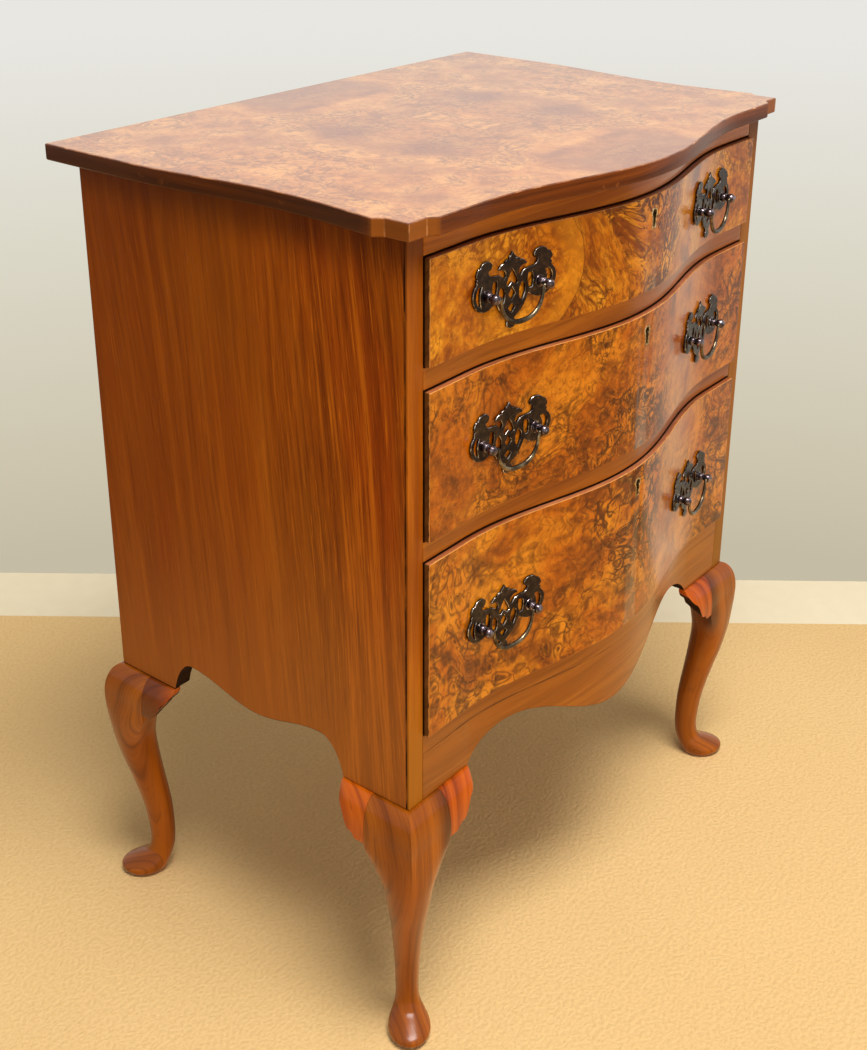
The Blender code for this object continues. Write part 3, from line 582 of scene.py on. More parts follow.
def burr_veneer(name, seed, tones, open_figure, size=1.0, height=None):
    """Golden burr veneer for a drawer front, in two leaves where a height for their joint is given."""
    wood = Finish(name, roughness=0.30, shine=0.08, coat=1.0, coat_roughness=0.14, coat_ior=1.27)
    x, _, z = wood.parts(wood.place)
    # Painted reflection: the figure is muted on the right of the front, as if washed out by the coat's reflection
    reflection_calm = x.level(0.03, 0.08) * x.level(0.22, 0.15, 0.40, 1.0)
    busy = x.level(-0.12, 0.02, 0.75 * BURR_FIGURE, 1.2 * BURR_FIGURE) * (reflection_calm * -0.80 + 1.0)
    if height:
        beyond = veneer_joint(wood, x, z, height)
        right = beyond > 0.0
        aside = x + JOINT_PLACE
        above = z - (height[0] + height[1]) / 2
        slanted = wood.joined(above * 0.8 + aside * 1.5, seed + LEAF_STEP, aside * -0.3 + above * 0.5)
        straight = wood.joined(aside, right * LEAF_STEP + seed, above)
        flat = wood.mix(right * beyond.level(0.085, 0.020), straight, slanted)
        tones = (wood.mix(right, tones[1], tones[0]), *tones[1:])
    else:
        flat = wood.joined(x / size, seed, z / size)
    mottle = burr_colours(wood, flat, busy, tones, open_figure)
    if height:
        wood.stain(abs(beyond).level(0.0010, 0.0002, 0.0, 0.8), tones[0])
        wood.stain(right * beyond.level(0.045, 0.002, 0.0, 0.35), tones[1])
        wood.stain(beyond.level(-0.030, -0.008, 0.0, 0.30) * (1.0 - right), tones[3])
    return wood.done(mottle, 0.00004)


def top_veneer(name):
    """The top's burr veneer, matched in four leaves about its middle."""
    wood = Finish(name, roughness=0.30, coat=1.0, coat_roughness=0.22, coat_ior=1.45)
    x, y, _ = wood.parts(wood.place)
    flat = wood.joined(abs(x), 3.7, abs(y - (FACE_Y + DEPTH * 0.46)))
    tones = ((116, 56, 20), (156, 86, 32), (194, 118, 50), (216, 146, 70))
    mottle = burr_colours(wood, flat, 0.6, tones, 0.24)
    butterfly = wood.noise(wood.pushed(flat, 12.0, 0.05, 1.0), 7.0)
    wood.stain(butterfly.level(0.46, 0.64, 0.0, 0.60), (124, 60, 34))
    return wood.done(mottle, 0.00004)


def straight_grain(wood, across, along, seed, tones):
    """Plain-sawn walnut: broad bands, fine streaks and pores along the grain. Gives back the pores."""
    deep, brown, warm, pale = tones
    bent = wood.noise((across * 2.5, seed, along), 3.0) * 0.035 + across
    bands = wood.noise((bent, seed, along * 0.05), 34.0, 4.0, 0.6)
    wood.shown = wood.ramp(bands, (0.28, deep), (0.44, brown), (0.58, warm), (0.74, pale))
    streaks = wood.noise((bent, seed + 1.0, along * 0.03), 230.0, 3.0, 0.6)
    wood.stain(streaks.level(0.50, 0.34, 0.0, 0.55), deep)
    wood.stain(streaks.level(0.56, 0.72, 0.0, 0.30), pale)
    pores = wood.noise((bent, seed + 2.0, along * 0.045), 1100.0, 1.0).level(0.60, 0.72)
    wood.stain(pores * 0.45, deep)
    return pores


def shade_under_top(wood, y, z):
    """How strongly the top's overhang shades what lies just below it: painted shade, darkest right under the top.
    """
    ragged = wood.noise((y, 0.0, 0.0), 14.0, 3.0)
    return (ragged * 0.016 + z).level(CARCASS_TOP - 0.034, CARCASS_TOP + 0.004, 0.0, 0.62)


def side_walnut(name):
    """The sides' veneer: upright grain, fine dark lines towards the front, painted light that makes the foot
    paler, and painted shade under the top.
    """
    wood = Finish(name, roughness=0.34, shine=0.08)
    _, y, z = wood.parts(wood.place)
    wander = wood.noise((y * 3.0, 0.9, z), 2.0, 1.0)
    across = wander * 0.03 + (z * -0.07 + y)
    tones = ((118, 52, 3), (146, 70, 5), (160, 80, 8), (178, 97, 16))
    pores = straight_grain(wood, across, z, 0.3, tones)
    drift = wood.noise((across, 3.3, z * 0.25), 9.0, 3.0)
    wood.stain(drift.level(0.46, 0.62, 0.0, 0.55), (150, 82, 10))
    wood.stain(drift.level(0.44, 0.30, 0.0, 0.60), (156, 62, 3))
    wood.stain((z * -0.25 + y).level(FACE_Y - 0.10, BACK_Y - 0.14, 0.0, 0.40), (120, 53, 5))
    front = y.level(FACE_Y + 0.19, FACE_Y + 0.05, 0.30, 1.0)
    ribbons = wood.noise((across, 5.5, z * 0.02), 95.0, 2.0, 0.6)
    lines = wood.noise((across, 7.7, z * 0.03), 480.0, 3.0, 0.65)
    deep, pale = (94, 34, 2), (212, 116, 18)
    wood.stain(ribbons.level(0.52, 0.66, 0.0, 0.40) * front, deep)
    wood.stain(ribbons.level(0.49, 0.36, 0.0, 0.50) * front, pale)
    wood.stain(lines.level(0.52, 0.64, 0.0, 0.62) * front, deep)
    wood.stain(lines.level(0.45, 0.33, 0.0, 0.60) * front, pale)
    # Painted light: paler towards the foot, where more light falls on the side
    wood.stain((y * 0.25 + z).level(0.50, 0.24, 0.0, 0.42), (184, 117, 54))
    # Painted shade under the top's overhang
    wood.stain(shade_under_top(wood, y, z), UNDER_TOP_SHADE)
    broken = wood.noise(wood.place, 30.0, 3.0).level(0.34, 0.58, 0.35, 0.95)
    wood.stain(y.level(FACE_Y + 0.0040, FACE_Y + 0.0030) * broken, (44, 17, 4))
    return wood.done(pores, -0.00006)


def upright_walnut(name):
    """The stiles' walnut, with upright grain, duller at the foot and on the right, with painted shade under the
    top.
    """
    wood = Finish(name, roughness=0.32, shine=0.12)
    x, y, z = wood.parts(wood.place)
    tones = ((128, 60, 6), (166, 88, 11), (182, 101, 16), (202, 122, 32))
    pores = straight_grain(wood, x, z, 5.1, tones)
    # Painted shade: darker over the upper part of the stile, under the top's overhang
    wood.stain(z.level(CARCASS_TOP - 0.20, CARCASS_TOP, 0.0, 0.55), (112, 54, 16))
    wood.stain(z.level(LEG_TOP + 0.16, LEG_TOP + 0.04, 0.0, 0.85), (150, 90, 17))
    wood.stain(x.level(-0.1, 0.1, 0.0, 0.75), (130, 80, 16))
    # Painted shade under the top's overhang
    wood.stain(shade_under_top(wood, y, z), UNDER_TOP_SHADE)
    return wood.done(pores, -0.00005)


def rail_walnut(name, seed, tones, joint=None):
    """Walnut with its grain along the front, painted shade under the top, and a broken dark line where a joint's
    height is given.
    """
    wood = Finish(name, roughness=0.30, shine=0.08, coat=1.0, coat_roughness=0.14, coat_ior=1.26)
    x, y, z = wood.parts(wood.place)
    pores = straight_grain(wood, y * 0.4 + z, x, seed, tones)
    # Painted shade under the top's overhang, weaker on the rails
    wood.stain(shade_under_top(wood, y, z) * 0.3, (74, 32, 6))
    if joint:
        broken = wood.noise(wood.place, 26.0, 3.0).level(0.36, 0.60, 0.15, 0.90)
        line = abs(z - joint).level(0.0010, 0.0003)
        wood.stain(line * (broken * x.level(-0.20, 0.05, 1.0, 0.35)), (62, 28, 8))
    return wood.done(pores, -0.00004)


def leg_walnut(name, tones, inner_shade_amount=0.0, rear_shade=0.0):
    """The legs' redder walnut with upright grain, and painted shade on the inner faces and towards the back."""
    wood = Finish(name, roughness=0.30, shine=0.08, coat=1.0, coat_roughness=0.20, coat_ior=1.30)
    x, y, z = wood.parts(wood.place)
    outwards = abs(x)
    endwards = abs(y - (FACE_Y + BACK_Y) / 2)
    across = outwards * 1.3 + endwards * -0.7
    wander = wood.noise((across, 1.1, z * 0.6), 11.0)
    pores = straight_grain(wood, wander * 0.02 + across, z, 2.2, tones)
    # Painted shade: darker on the inner faces of the legs and on the parts towards the back
    inner_shade = outwards.level(HALF_WIDTH - 0.012, HALF_WIDTH - 0.034, 0.0, inner_shade_amount)
    behind = y.level(BACK_Y - 0.09, BACK_Y - 0.05, 0.0, rear_shade)
    wood.stain(inner_shade.larger(behind), (66, 25, 4))
    return wood.done(pores, -0.00005)


def underside_and_shade(name):
    """Sawn undersides, unpolished; their nearly black colour is partly age and partly painted shade on faces that
    turn downwards.
    """
    wood = Finish(name, roughness=0.75, shine=0.1)
    x, y, z = wood.parts(wood.place)
    tones = ((20, 10, 5), (34, 18, 9), (46, 25, 12), (64, 37, 18))
    return wood.done(straight_grain(wood, y + z, x, 11.5, tones), -0.00010)


def front_depth(x, y):
    """How far a point of a drawer front lies behind its shown face."""
    part = (abs(x) / SWELL_REACH).smaller(1.0)
    swelling = (part * math.pi).cosine() * (SWELL / 2) + SWELL / 2
    return y + (FRONT_PROUD - FACE_Y) + swelling


def veneer_edge(name, tones, tails=None):
    """The edges of a drawer front: a thin worn line of veneer, a painted shadow line behind it, then the ground
    wood and any dovetails.
    """
    wood = Finish(name, roughness=0.34, shine=0.3, coat=0.4, coat_roughness=0.16)
    x, y, z = wood.parts(wood.place)
    depth = front_depth(x, y)
    pores = straight_grain(wood, z + y, x, 4.4, tones)
    chips = wood.noise(wood.place, 160.0, 3.0)
    wood.stain(depth < chips * 0.0030 - 0.0005, (202, 142, 74))
    # Painted shadow: a dark band behind the proud face, where the rail's gap shades the edge
    wood.stain(depth.level(0.0048, 0.0056) * depth.level(0.0085, 0.0070), (26, 12, 6))
    if tails:
        off = abs((z / TAIL_PITCH).fraction() - 0.5)
        inside = ((depth * -9.6 + 0.442) - off).smaller(depth * 38.0 - 0.323)
        wood.stain(inside.level(0.0, 0.012), wood.mix(chips, *tails))
        wood.stain(abs(inside).level(0.028, 0.010, 0.0, 0.8), (40, 22, 10))
    return wood.done(pores, -0.00005)


def edge_walnut(name):
    """The top's dark lipped edge, with its grain along the edge, painted shade along its sides and rubbed corners.
    """
    wood = Finish(name, roughness=0.36, shine=0.08, coat=0.3, coat_roughness=0.14)
    x, y, z = wood.parts(wood.place)
    tones = ((50, 18, 3), (88, 38, 6), (118, 56, 10), (146, 78, 20))
    pores = straight_grain(wood, z, x + y, 6.3, tones)
    wear = wood.noise(wood.place, 70.0, 4.0, 0.6)
    wood.stain(wear.level(0.62, 0.72, 0.0, 0.4), (156, 88, 36))
    outward = abs(x) - (HALF_WIDTH + BLOCK_OVERHANG)
    forward = (FACE_Y - BLOCK_OVERHANG) - y
    # Painted shade: the top's side edges behind the corner blocks are darker
    wood.stain(outward.level(-0.012, -0.004) * forward.level(-0.030, -0.045, 0.0, 0.5), (40, 15, 3))
    block = outward.level(-0.030, -0.024).smaller(forward.level(-0.034, -0.028))
    wood.stain(block * 0.70, (138, 76, 22))
    rubbing = wear.level(0.40, 0.62, 0.08, 0.50)
    for corner_out, corner_on in ((0.0, 0.0), (-BLOCK_WIDTH, 0.0), (0.0, -BLOCK_DEPTH)):
        off = abs(outward - corner_out) + abs(forward - corner_on)
        wood.stain(off.level(0.0013, 0.0004) * rubbing, (212, 150, 96))
    return wood.done(pores, -0.00005)


def worn_arris(name):
    """Edges rubbed pale through the polish."""
    wood = Finish(name, roughness=0.38, coat=0.2, coat_roughness=0.2)
    rub = wood.noise(wood.place, 55.0, 4.0, 0.65)
    wood.shown = wood.ramp(rub, (0.36, (88, 42, 18)), (0.56, (142, 84, 46)), (0.74, (206, 152, 108)))
    return wood.done()


def lining_wood(name, along, seed):
    """Plain lining timber, dull, with its grain along x or y."""
    wood = Finish(name, roughness=0.62)
    places = dict(zip("xyz", wood.parts(wood.place)))
    run = places.pop(along)
    first, second = places.values()
    tones = ((146, 100, 58), (178, 132, 84), (196, 152, 104), (212, 174, 128))
    pores = straight_grain(wood, second * 0.7 + first, run, seed, tones)
    wood.stain(wood.noise(wood.place, 11.0, 4.0, 0.6).level(0.56, 0.74, 0.0, 0.4), (120, 78, 44))
    return wood.done(pores, -0.00008)


def back_boards(name):
    """The back's three upright boards, stained thinly, with dark open joints and nail heads."""
    wood = Finish(name, roughness=0.66)
    x, _, z = wood.parts(wood.place)
    width = 2 * HALF_WIDTH / 3
    counted = (x + HALF_WIDTH) / width
    tones = ((84, 50, 24), (116, 74, 38), (134, 90, 50), (154, 110, 68))
    pores = straight_grain(wood, counted.floor() * 0.37 + x, z, 10.3, tones)
    wood.stain(wood.noise(wood.place, 9.0, 4.0, 0.6).level(0.54, 0.74, 0.0, 0.5), (78, 46, 22))
    across = counted.fraction()
    joint = across.smaller(1.0 - across).level(0.0075, 0.0030)
    wood.stain(joint, (26, 14, 7))
    end = abs(abs(z - (LEG_TOP + CARCASS_TOP) / 2) - NAIL_REACH)
    aside = abs(((x + HALF_WIDTH) / (width / 3)).fraction() - 0.5) * (width / 3)
    nail = (aside * aside + end * end).root()
    head = nail.level(0.0030, 0.0022)
    wood.stain(nail.level(0.0060, 0.0026, 0.0, 0.6), (48, 26, 14))
    wood.stain(head, (72, 62, 54))
    return wood.done(joint * 8.0 + (pores + head), -0.00012)


def old_metal(name, roughness, metallic, scale, detail, stops, gloss=None, spots=None):
    """Metal in patches of a scale, with a roughness that may follow them and spots that may stand on it."""
    metal = Finish(name, roughness, metallic)
    patches = metal.noise(metal.place, scale, detail, 0.6)
    metal.shown = metal.ramp(patches, *stops)
    if gloss:
        metal.feed(metal.shader.inputs["Roughness"], patches.level(*gloss))
    if not spots:
        return metal.done()
    spot_scale, rough, amount, colour, height = spots
    grime = metal.noise(metal.place, spot_scale, 3.0, rough)
    metal.stain(grime.level(0.58, 0.70, 0.0, amount), colour)
    return metal.done(grime, height)


# Shapes of the chest

def spread(start, end, steps):
    return [start + (end - start) * i / steps for i in range(steps + 1)]


def swell(x):
    """How far the serpentine front stands forward of its flat ends."""
    part = min(abs(x) / SWELL_REACH, 1.0)
    return SWELL * (1.0 + math.cos(math.pi * part)) / 2.0


def front_bar(name, stations, proud, back, low, high):
    """A bar along the front. back(x) and low(x) give its rear face and its lower edge."""
    rings = []
    for x in stations:
        front = FACE_Y - swell(x) - proud
        rings.append([(x, front, low(x)), (x, back(x), low(x)), (x, back(x), high), (x, front, high)])
    return skin(name, rings)


def arched_edge(ear_end, crown, middle):
    """Half of a shaped lower edge as (distance from the corner, height): the arch, then the belly."""
    place, rise, drop = crown
    points = []
    for turn in spread(ARCH_START, math.pi / 2, ARCH_STEPS):
        away = place - (place - ear_end) * math.cos(turn) / math.cos(ARCH_START)
        lift = rise * (math.sin(turn) - math.sin(ARCH_START)) / (1.0 - math.sin(ARCH_START))
        points.append((away, LEG_TOP + FIT + lift))
    for part in spread(0.0, 1.0, BELLY_STEPS)[1:]:
        dip = drop * (1.0 - math.cos(math.pi * part)) / 2.0
        points.append((place + (middle - place) * part, LEG_TOP + FIT + rise - dip))
    return points


def make_rail(node, finish, easing=RAIL_EASING):
    low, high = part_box(node)
    stations = spread(low.x, high.x, FRONT_STEPS)
    rail = front_bar("long_" + node, stations, 0.0, lambda x: high.y, lambda x: low.z, high.z)
    ease_edges(rail, easing)
    for word in DRAWERS:
        if RAIL_OVER[word] == node:
            bolt_low, bolt_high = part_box(word + "_lock_bolt")
            margin = Vector((MORTISE_MARGIN, MORTISE_MARGIN, 0.0))
            lowest = Vector((*(bolt_low - margin).xy, low.z - MORTISE_DEPTH))
            highest = Vector((*(bolt_high + margin).xy, low.z + MORTISE_DEPTH))
            cut(rail, cube_cutter(lowest, highest))
    stand_for(rail, node, finish)


def make_apron(finish, shaded_underside):
    half_edge = arched_edge(FRONT_EAR_REACH, FRONT_CROWN, HALF_WIDTH)
    low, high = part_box("front_apron")
    edge = [(low.x, LEG_TOP + FIT)] + [(away - HALF_WIDTH, height) for away, height in half_edge]
    edge += [(-x, height) for x, height in reversed(edge[:-1])]
    heights = dict(edge)
    stations = [x for x, height in edge]
    back = lambda x: FACE_Y + APRON_THICKNESS - swell(x)
    apron = front_bar("shaped_apron", stations, 0.0, back, lambda x: heights[x], high.z + FIT)
    ease_edges(apron, FLUSH_EASING)
    # Faces turned downwards get the nearly black finish, partly painted shade
    choose = lambda middle, normal: int(normal.z < UNDERSIDE_TILT)
    stand_for(apron, "front_apron", finish, shaded_underside, choose=choose)


def make_side(word, finish, shaded_underside):
    node = "side_panel_" + word
    low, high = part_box(node)
    half_edge = arched_edge(SIDE_EAR_REACH, SIDE_CROWN, DEPTH / 2)
    edge = [(low.y - FACE_Y, LEG_TOP + FIT)] + half_edge
    edge += [(DEPTH - away, height) for away, height in reversed(half_edge[:-1])]
    edge.append((DEPTH, LEG_TOP + FIT))
    rings = []
    for away, height in edge:
        y = FACE_Y + away
        rings.append([(low.x, y, height), (high.x, y, height), (high.x, y, high.z), (low.x, y, high.z)])
    panel = skin("veneered_side_" + word, rings)
    ease_edges(panel, PANEL_EASING)
    arch_start, arch_end = FACE_Y + 0.03, BACK_Y - SIDE_EAR_REACH / 2

    # Downward faces and the faces of the arched lower edge get the nearly black finish, partly painted shade
    def choose(middle, normal):
        in_arch = arch_start < middle.y < arch_end and abs(normal.x) < 0.5 and normal.z < 0.5
        return int(normal.z < UNDERSIDE_TILT or in_arch)

    stand_for(panel, node, finish, shaded_underside, choose=choose)


def make_stile(word, finish):
    node = "front_stile_" + word
    low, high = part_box(node)
    rings = []
    for z in spread(low.z, high.z, STILE_STEPS):
        rings.append([(low.x, low.y, z), (high.x, low.y, z), (high.x, high.y, z), (low.x, high.y, z)])
    stile = skin("veneer_strip_" + word, rings)
    ease_edges(stile, STRIP_EASING)
    stand_for(stile, node, finish)


def top_outline(inset):
    """The top's plan at an inset from its outermost edge, once round."""
    block_x = HALF_WIDTH + BLOCK_OVERHANG
    half = []
    for x in spread(0.0, block_x - BLOCK_WIDTH - BLOCK_CANT, TOP_FRONT_STEPS):
        half.append((x, -swell(x) - FRONT_OVERHANG + inset))
    half.append((block_x - BLOCK_WIDTH, -BLOCK_OVERHANG + inset))
    half.append((block_x - inset, -BLOCK_OVERHANG + inset))
    half.append((block_x - inset, BLOCK_DEPTH - BLOCK_OVERHANG))
    for y in spread(BLOCK_DEPTH - BLOCK_OVERHANG + BLOCK_CANT, DEPTH, TOP_SIDE_STEPS):
        part = min(abs(y - DIP_PLACE) / DIP_REACH, 1.0)
        overhang = SIDE_OVERHANG - SIDE_DIP * (1.0 + math.cos(math.pi * part)) / 2.0
        half.append((HALF_WIDTH + overhang - inset, y))
    half.append((HALF_WIDTH + SIDE_OVERHANG - inset, DEPTH + BACK_OVERHANG - inset))
    return half + [(-x, y) for x, y in reversed(half[1:])]


def make_top(face_finish, edge_finish, worn_finish):
    low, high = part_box("top")
    profile = [(inset, low.z + rise) for inset, rise in TOP_LOWER_EDGE]
    profile += [(inset, high.z - drop) for inset, drop in TOP_UPPER_EDGE]
    rings = []
    for inset, height in profile:
        rings.append([(x, FACE_Y + y, height) for x, y in top_outline(inset)])
    board = skin("shaped_top", rings)
    shade(board, 30.0)

    def choose(middle, normal):
        if normal.z > TOP_FACE_TILT:
            return 0
        return 2 if normal.z > TOP_ARRIS_TILT else 1

    stand_for(board, "top", face_finish, edge_finish, worn_finish, choose=choose)


def knee_reach(height):
    """How far the arris of the knee stands out from the carcass corner, along the diagonal."""
    if height >= KNEE_LEVEL:
        part = (height - KNEE_LEVEL) / (LEG_TOP - KNEE_LEVEL)
        return KNEE_REACH * math.sqrt(max(1.0 - part * part, 0.0))
    first_height, first_reach = LEG_PATTERN[0][0] * LEG_TOP, LEG_PATTERN[0][1] * LEG_BLOCK
    part = min((KNEE_LEVEL - height) / (KNEE_LEVEL - first_height), 1.0)
    return KNEE_REACH + (first_reach - KNEE_REACH) * part


def knee_section(turn):
    """A section of the square block at the top of a leg, as the knee rolls over."""
    corner = -LEG_BLOCK * math.sqrt(2)
    height = KNEE_LEVEL + (LEG_TOP - KNEE_LEVEL) * math.cos(turn)
    back = corner - (KNEE_BACK + corner) * (1.0 - math.cos(turn))
    face = knee_reach(height) / math.sqrt(2)
    half = (face + LEG_BLOCK) / math.sqrt(2)
    return [height, knee_reach(height), back, half, (face - LEG_BLOCK) / math.sqrt(2), 1.0, 1.0]


def between(rows, cuts):
    """Rows of numbers with smooth steps put between them; the first number of each row is its place."""
    slopes = []
    for i in range(len(rows)):
        before, after = rows[max(i - 1, 0)], rows[min(i + 1, len(rows) - 1)]
        slopes.append([(b - a) / (after[0] - before[0]) for a, b in zip(before, after)])
    finer = []
    for first, second, out, into in zip(rows, rows[1:], slopes, slopes[1:]):
        span = second[0] - first[0]
        for t in spread(0.0, 1.0, cuts)[:-1]:
            weights = (2*t**3 - 3*t**2 + 1, (t**3 - 2*t**2 + t) * span, 3*t**2 - 2*t**3, (t**3 - t**2) * span)
            finer.append([sum(w * v for w, v in zip(weights, vs)) for vs in zip(first, out, second, into)])
    return finer + [list(rows[-1])]


def leg_ring(corner, outward, section):
    height, front, back, half, middle, front_round, back_round = section
    ring = []
    for i in range(LEG_SIDES):
        turn = 2 * math.pi * i / LEG_SIDES
        along, across = math.cos(turn), math.sin(turn)
        length, roundness = (front - middle, front_round) if along >= 0 else (middle - back, back_round)
        power = 2.0 / min(max(roundness, 1.0), 2.0)
        out = middle + math.copysign(length * abs(along) ** power, along)
        sideways = math.copysign(half * abs(across) ** power, across)
        x = corner[0] + outward[0] * (out - sideways) / math.sqrt(2)
        y = corner[1] + outward[1] * (out + sideways) / math.sqrt(2)
        ring.append((x, y, height))
    return ring


def post_ring(corner, outward, clear_y, height):
    """The post above a leg, inside the carcass corner."""
    near = (SIDE_THICKNESS + FIT, clear_y + FIT)
    far = LEG_BLOCK - POST_INSET
    corners = [(near[0], near[1]), (far, near[1]), (far, far), (near[0], far)]
    ring = []
    for start, end in zip(corners, corners[1:] + corners[:1]):
        for part in spread(0.0, 1.0, LEG_SIDES // 4)[:-1]:
            x = start[0] + (end[0] - start[0]) * part
            y = start[1] + (end[1] - start[1]) * part
            ring.append((corner[0] - outward[0] * x, corner[1] - outward[1] * y, height))
    return ring


def make_leg(where, corner, outward, clear_y, finish):
    pattern = [[row[0] * LEG_TOP, *(size * LEG_BLOCK for size in row[1:5]), *row[5:]] for row in LEG_PATTERN]
    sections = [knee_section(turn) for turn in spread(0.0, math.pi / 2, KNEE_STEPS)]
    sections = sections[:-1] + between([sections[-1]] + pattern, LEG_STEPS)
    rings = [post_ring(corner, outward, clear_y, LEG_TOP + rise) for rise in (POST_RISE, 0.0)]
    rings += [leg_ring(corner, outward, section) for section in sections]
    leg = skin("cabriole_leg_" + where, rings)
    ease_edges(leg, PANEL_EASING, 2, 50.0)
    stand_for(leg, "leg_" + where, finish)


def ear_section(away, reach, drop):
    """An ear's outline at a distance from the corner, as (outwards from the carcass face, height)."""
    tip = LEG_BLOCK + FIT + EAR_TIP
    part = max(away - tip, 0.0) / (reach - tip)
    rise = part ** EAR_CURVE + EAR_SCALLOP * math.sin(4 * math.pi * part)
    low = LEG_TOP - drop + (drop - EAR_END) * rise
    rounding = max(away - (reach - EAR_ROUND), 0.0) / EAR_ROUND
    keep = math.sqrt(max(1.0 - EAR_FLATTENING * rounding * rounding, 0.0))
    points = [(-EAR_BACK, LEG_TOP), (0.0, LEG_TOP)]
    for fall in spread(0.0, 1.0, EAR_STEPS)[1:]:
        height = LEG_TOP + (low - LEG_TOP) * fall ** 1.5
        points.append((knee_reach(height) / math.sqrt(2) * keep, height))
    points.append((-EAR_BACK, low + (LEG_TOP - low) * EAR_BACK_RISE))
    return points


def make_ear(node, corner, along, outward, reach, drop, finishes):
    seam = LEG_BLOCK + FIT
    stations = [seam] + spread(seam + EAR_TIP, reach - EAR_ROUND, EAR_STEPS)
    for turn in spread(0.0, math.pi / 2, EAR_ROUND_STEPS)[1:]:
        stations.append(reach - EAR_ROUND * (1.0 - math.sin(turn)))
    rings = []
    for away in stations:
        ring = []
        for out, height in ear_section(away, reach, drop):
            x = corner[0] + along[0] * away + outward[0] * out
            y = corner[1] + along[1] * away + outward[1] * out
            ring.append((x, y, height))
        rings.append(ring)
    ear = skin("carved_" + node, rings)
    ease_edges(ear, STRIP_EASING, 2, 45.0)
    # Faces turned downwards get the nearly black finish, partly painted shade
    choose = lambda middle, normal: int(normal.z < EAR_UNDERSIDE_TILT)
    stand_for(ear, node, *finishes, choose=choose)


def make_stand(leg_finish, *ear_finishes):
    for side_word, side in SIDES.items():
        for end, end_word in ((-1, "front"), (1, "rear")):
            corner = (side * HALF_WIDTH, FACE_Y if end < 0 else BACK_Y)
            clear_y = APRON_THICKNESS if end < 0 else BACK_THICKNESS
            where = end_word + "_" + side_word
            make_leg(where, corner, (side, end), clear_y, leg_finish)
            drop = FRONT_EAR_DROP if end < 0 else REAR_EAR_DROP
            ear = "ear_" + where
            make_ear(ear + "_side", corner, (0, -end), (side, 0), SIDE_EAR_REACH, drop, ear_finishes)
            if end < 0:
                make_ear(ear + "_front", corner, (-side, 0), (0, end), FRONT_EAR_REACH, drop, ear_finishes)


def keyhole_outline(grow):
    """A keyhole seen from the front: a round head over a flared foot, as (x, height) about its middle."""
    head = KEYHOLE_HEAD - KEYHOLE_WALL + grow
    foot = KEYHOLE_FOOT - KEYHOLE_WALL + grow
    half = KEYHOLE_HEIGHT / 2 - KEYHOLE_WALL + grow
    points = [(-foot, -half), (foot, -half)]
    for turn in spread(math.radians(-50.0), math.radians(230.0), KEYHOLE_STEPS):
        points.append((head * math.cos(turn), half - head + head * math.sin(turn)))
    return points


def make_front(word, show_finish, edge_finish, shaded_end_finish, back_finish):
    """A drawer front, veneered on its face, with the lock's notch and keyhole cut in it."""
    node = word + "_drawer_front"
    low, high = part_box(node)
    case_low, case_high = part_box(word + "_lock_case")
    stations = spread(low.x, high.x, FRONT_STEPS)
    back = lambda x: FACE_Y + FRONT_THICKNESS - FRONT_PROUD - swell(x)
    front = front_bar("bowed_" + node, stations, FRONT_PROUD, back, lambda x: low.z, high.z)
    ease_edges(front, FRONT_EASING)
    notch_low = (case_low.x - FIT, case_low.y - FIT, case_low.z - FIT)
    notch_high = (case_high.x + FIT, case_high.y + FRONT_THICKNESS, high.z + FRONT_THICKNESS)
    cut(front, cube_cutter(notch_low, notch_high))
    place = (case_low.x + case_high.x) / 2
    hole = keyhole_outline(KEYHOLE_WALL + FIT)
    rings = []
    for y in (FACE_Y - swell(place) - 2 * FRONT_PROUD, case_low.y + FIT):
        rings.append([(place + x, y, high.z - KEYHOLE_DROP + z) for x, z in hole])
    cut(front, skin("keyhole_cutter", rings))

    def choose(middle, normal):
        behind = middle.y - FACE_Y + swell(middle.x) + FRONT_PROUD
        if behind < VENEER_DEPTH and normal.y < VENEER_TILT:
            return 0
        if abs(middle.x) > DRAWER_HALF - DRAWER_END:
            return 2
        return 1 if abs(normal.y) < LINED_TILT else 3

    stand_for(front, node, show_finish, edge_finish, shaded_end_finish, back_finish, choose=choose)


def cut_plate(name, loops, thickness, rounding, corner_angle):
    """A flat plate sawn to a rim and piercings, its edges rounded over. Sharp turns stay corners."""
    curve = bpy.data.curves.new(name, "CURVE")
    curve.dimensions = "2D"
    curve.fill_mode = "BOTH"
    curve.resolution_u = 4
    curve.extrude = thickness / 2 - rounding
    curve.bevel_depth = rounding
    curve.bevel_resolution = 2
    curve.offset = -rounding
    for loop in loops:
        spline = curve.splines.new("BEZIER")
        spline.bezier_points.add(len(loop) - 1)
        spline.use_cyclic_u = True
        for i, (point, place) in enumerate(zip(spline.bezier_points, loop)):
            before, here, after = (Vector(loop[(i + step) % len(loop)]) for step in (-1, 0, 1))
            sharp = (here - before).angle(after - here) > math.radians(corner_angle)
            point.co = (*place, 0.0)
            point.handle_left_type = point.handle_right_type = "VECTOR" if sharp else "AUTO"
    piece = bpy.data.objects.new(name, curve)
    bpy.context.scene.collection.objects.link(piece)
    take(piece)
    bpy.ops.object.convert(target="MESH")
    piece = bpy.context.object
    open_unselected(piece, "VERT")
    bpy.ops.mesh.select_all(action="SELECT")
    bpy.ops.mesh.remove_doubles(threshold=0.00001)
    bpy.ops.object.mode_set(mode="OBJECT")
    face_outwards(piece)
    return piece


def mirrored(points):
    return [(-u, v) for u, v in reversed(points)]


def plate_loops():
    loops = [list(PLATE_RIM) + mirrored(PLATE_RIM[1:-1])]
    for piercing in SIDE_PIERCINGS:
        loops += [list(piercing), mirrored(piercing)]
    loops += [list(piercing) for piercing in MIDDLE_PIERCINGS]
    return [[(u / 1000, v / 1000) for u, v in loop] for loop in loops]


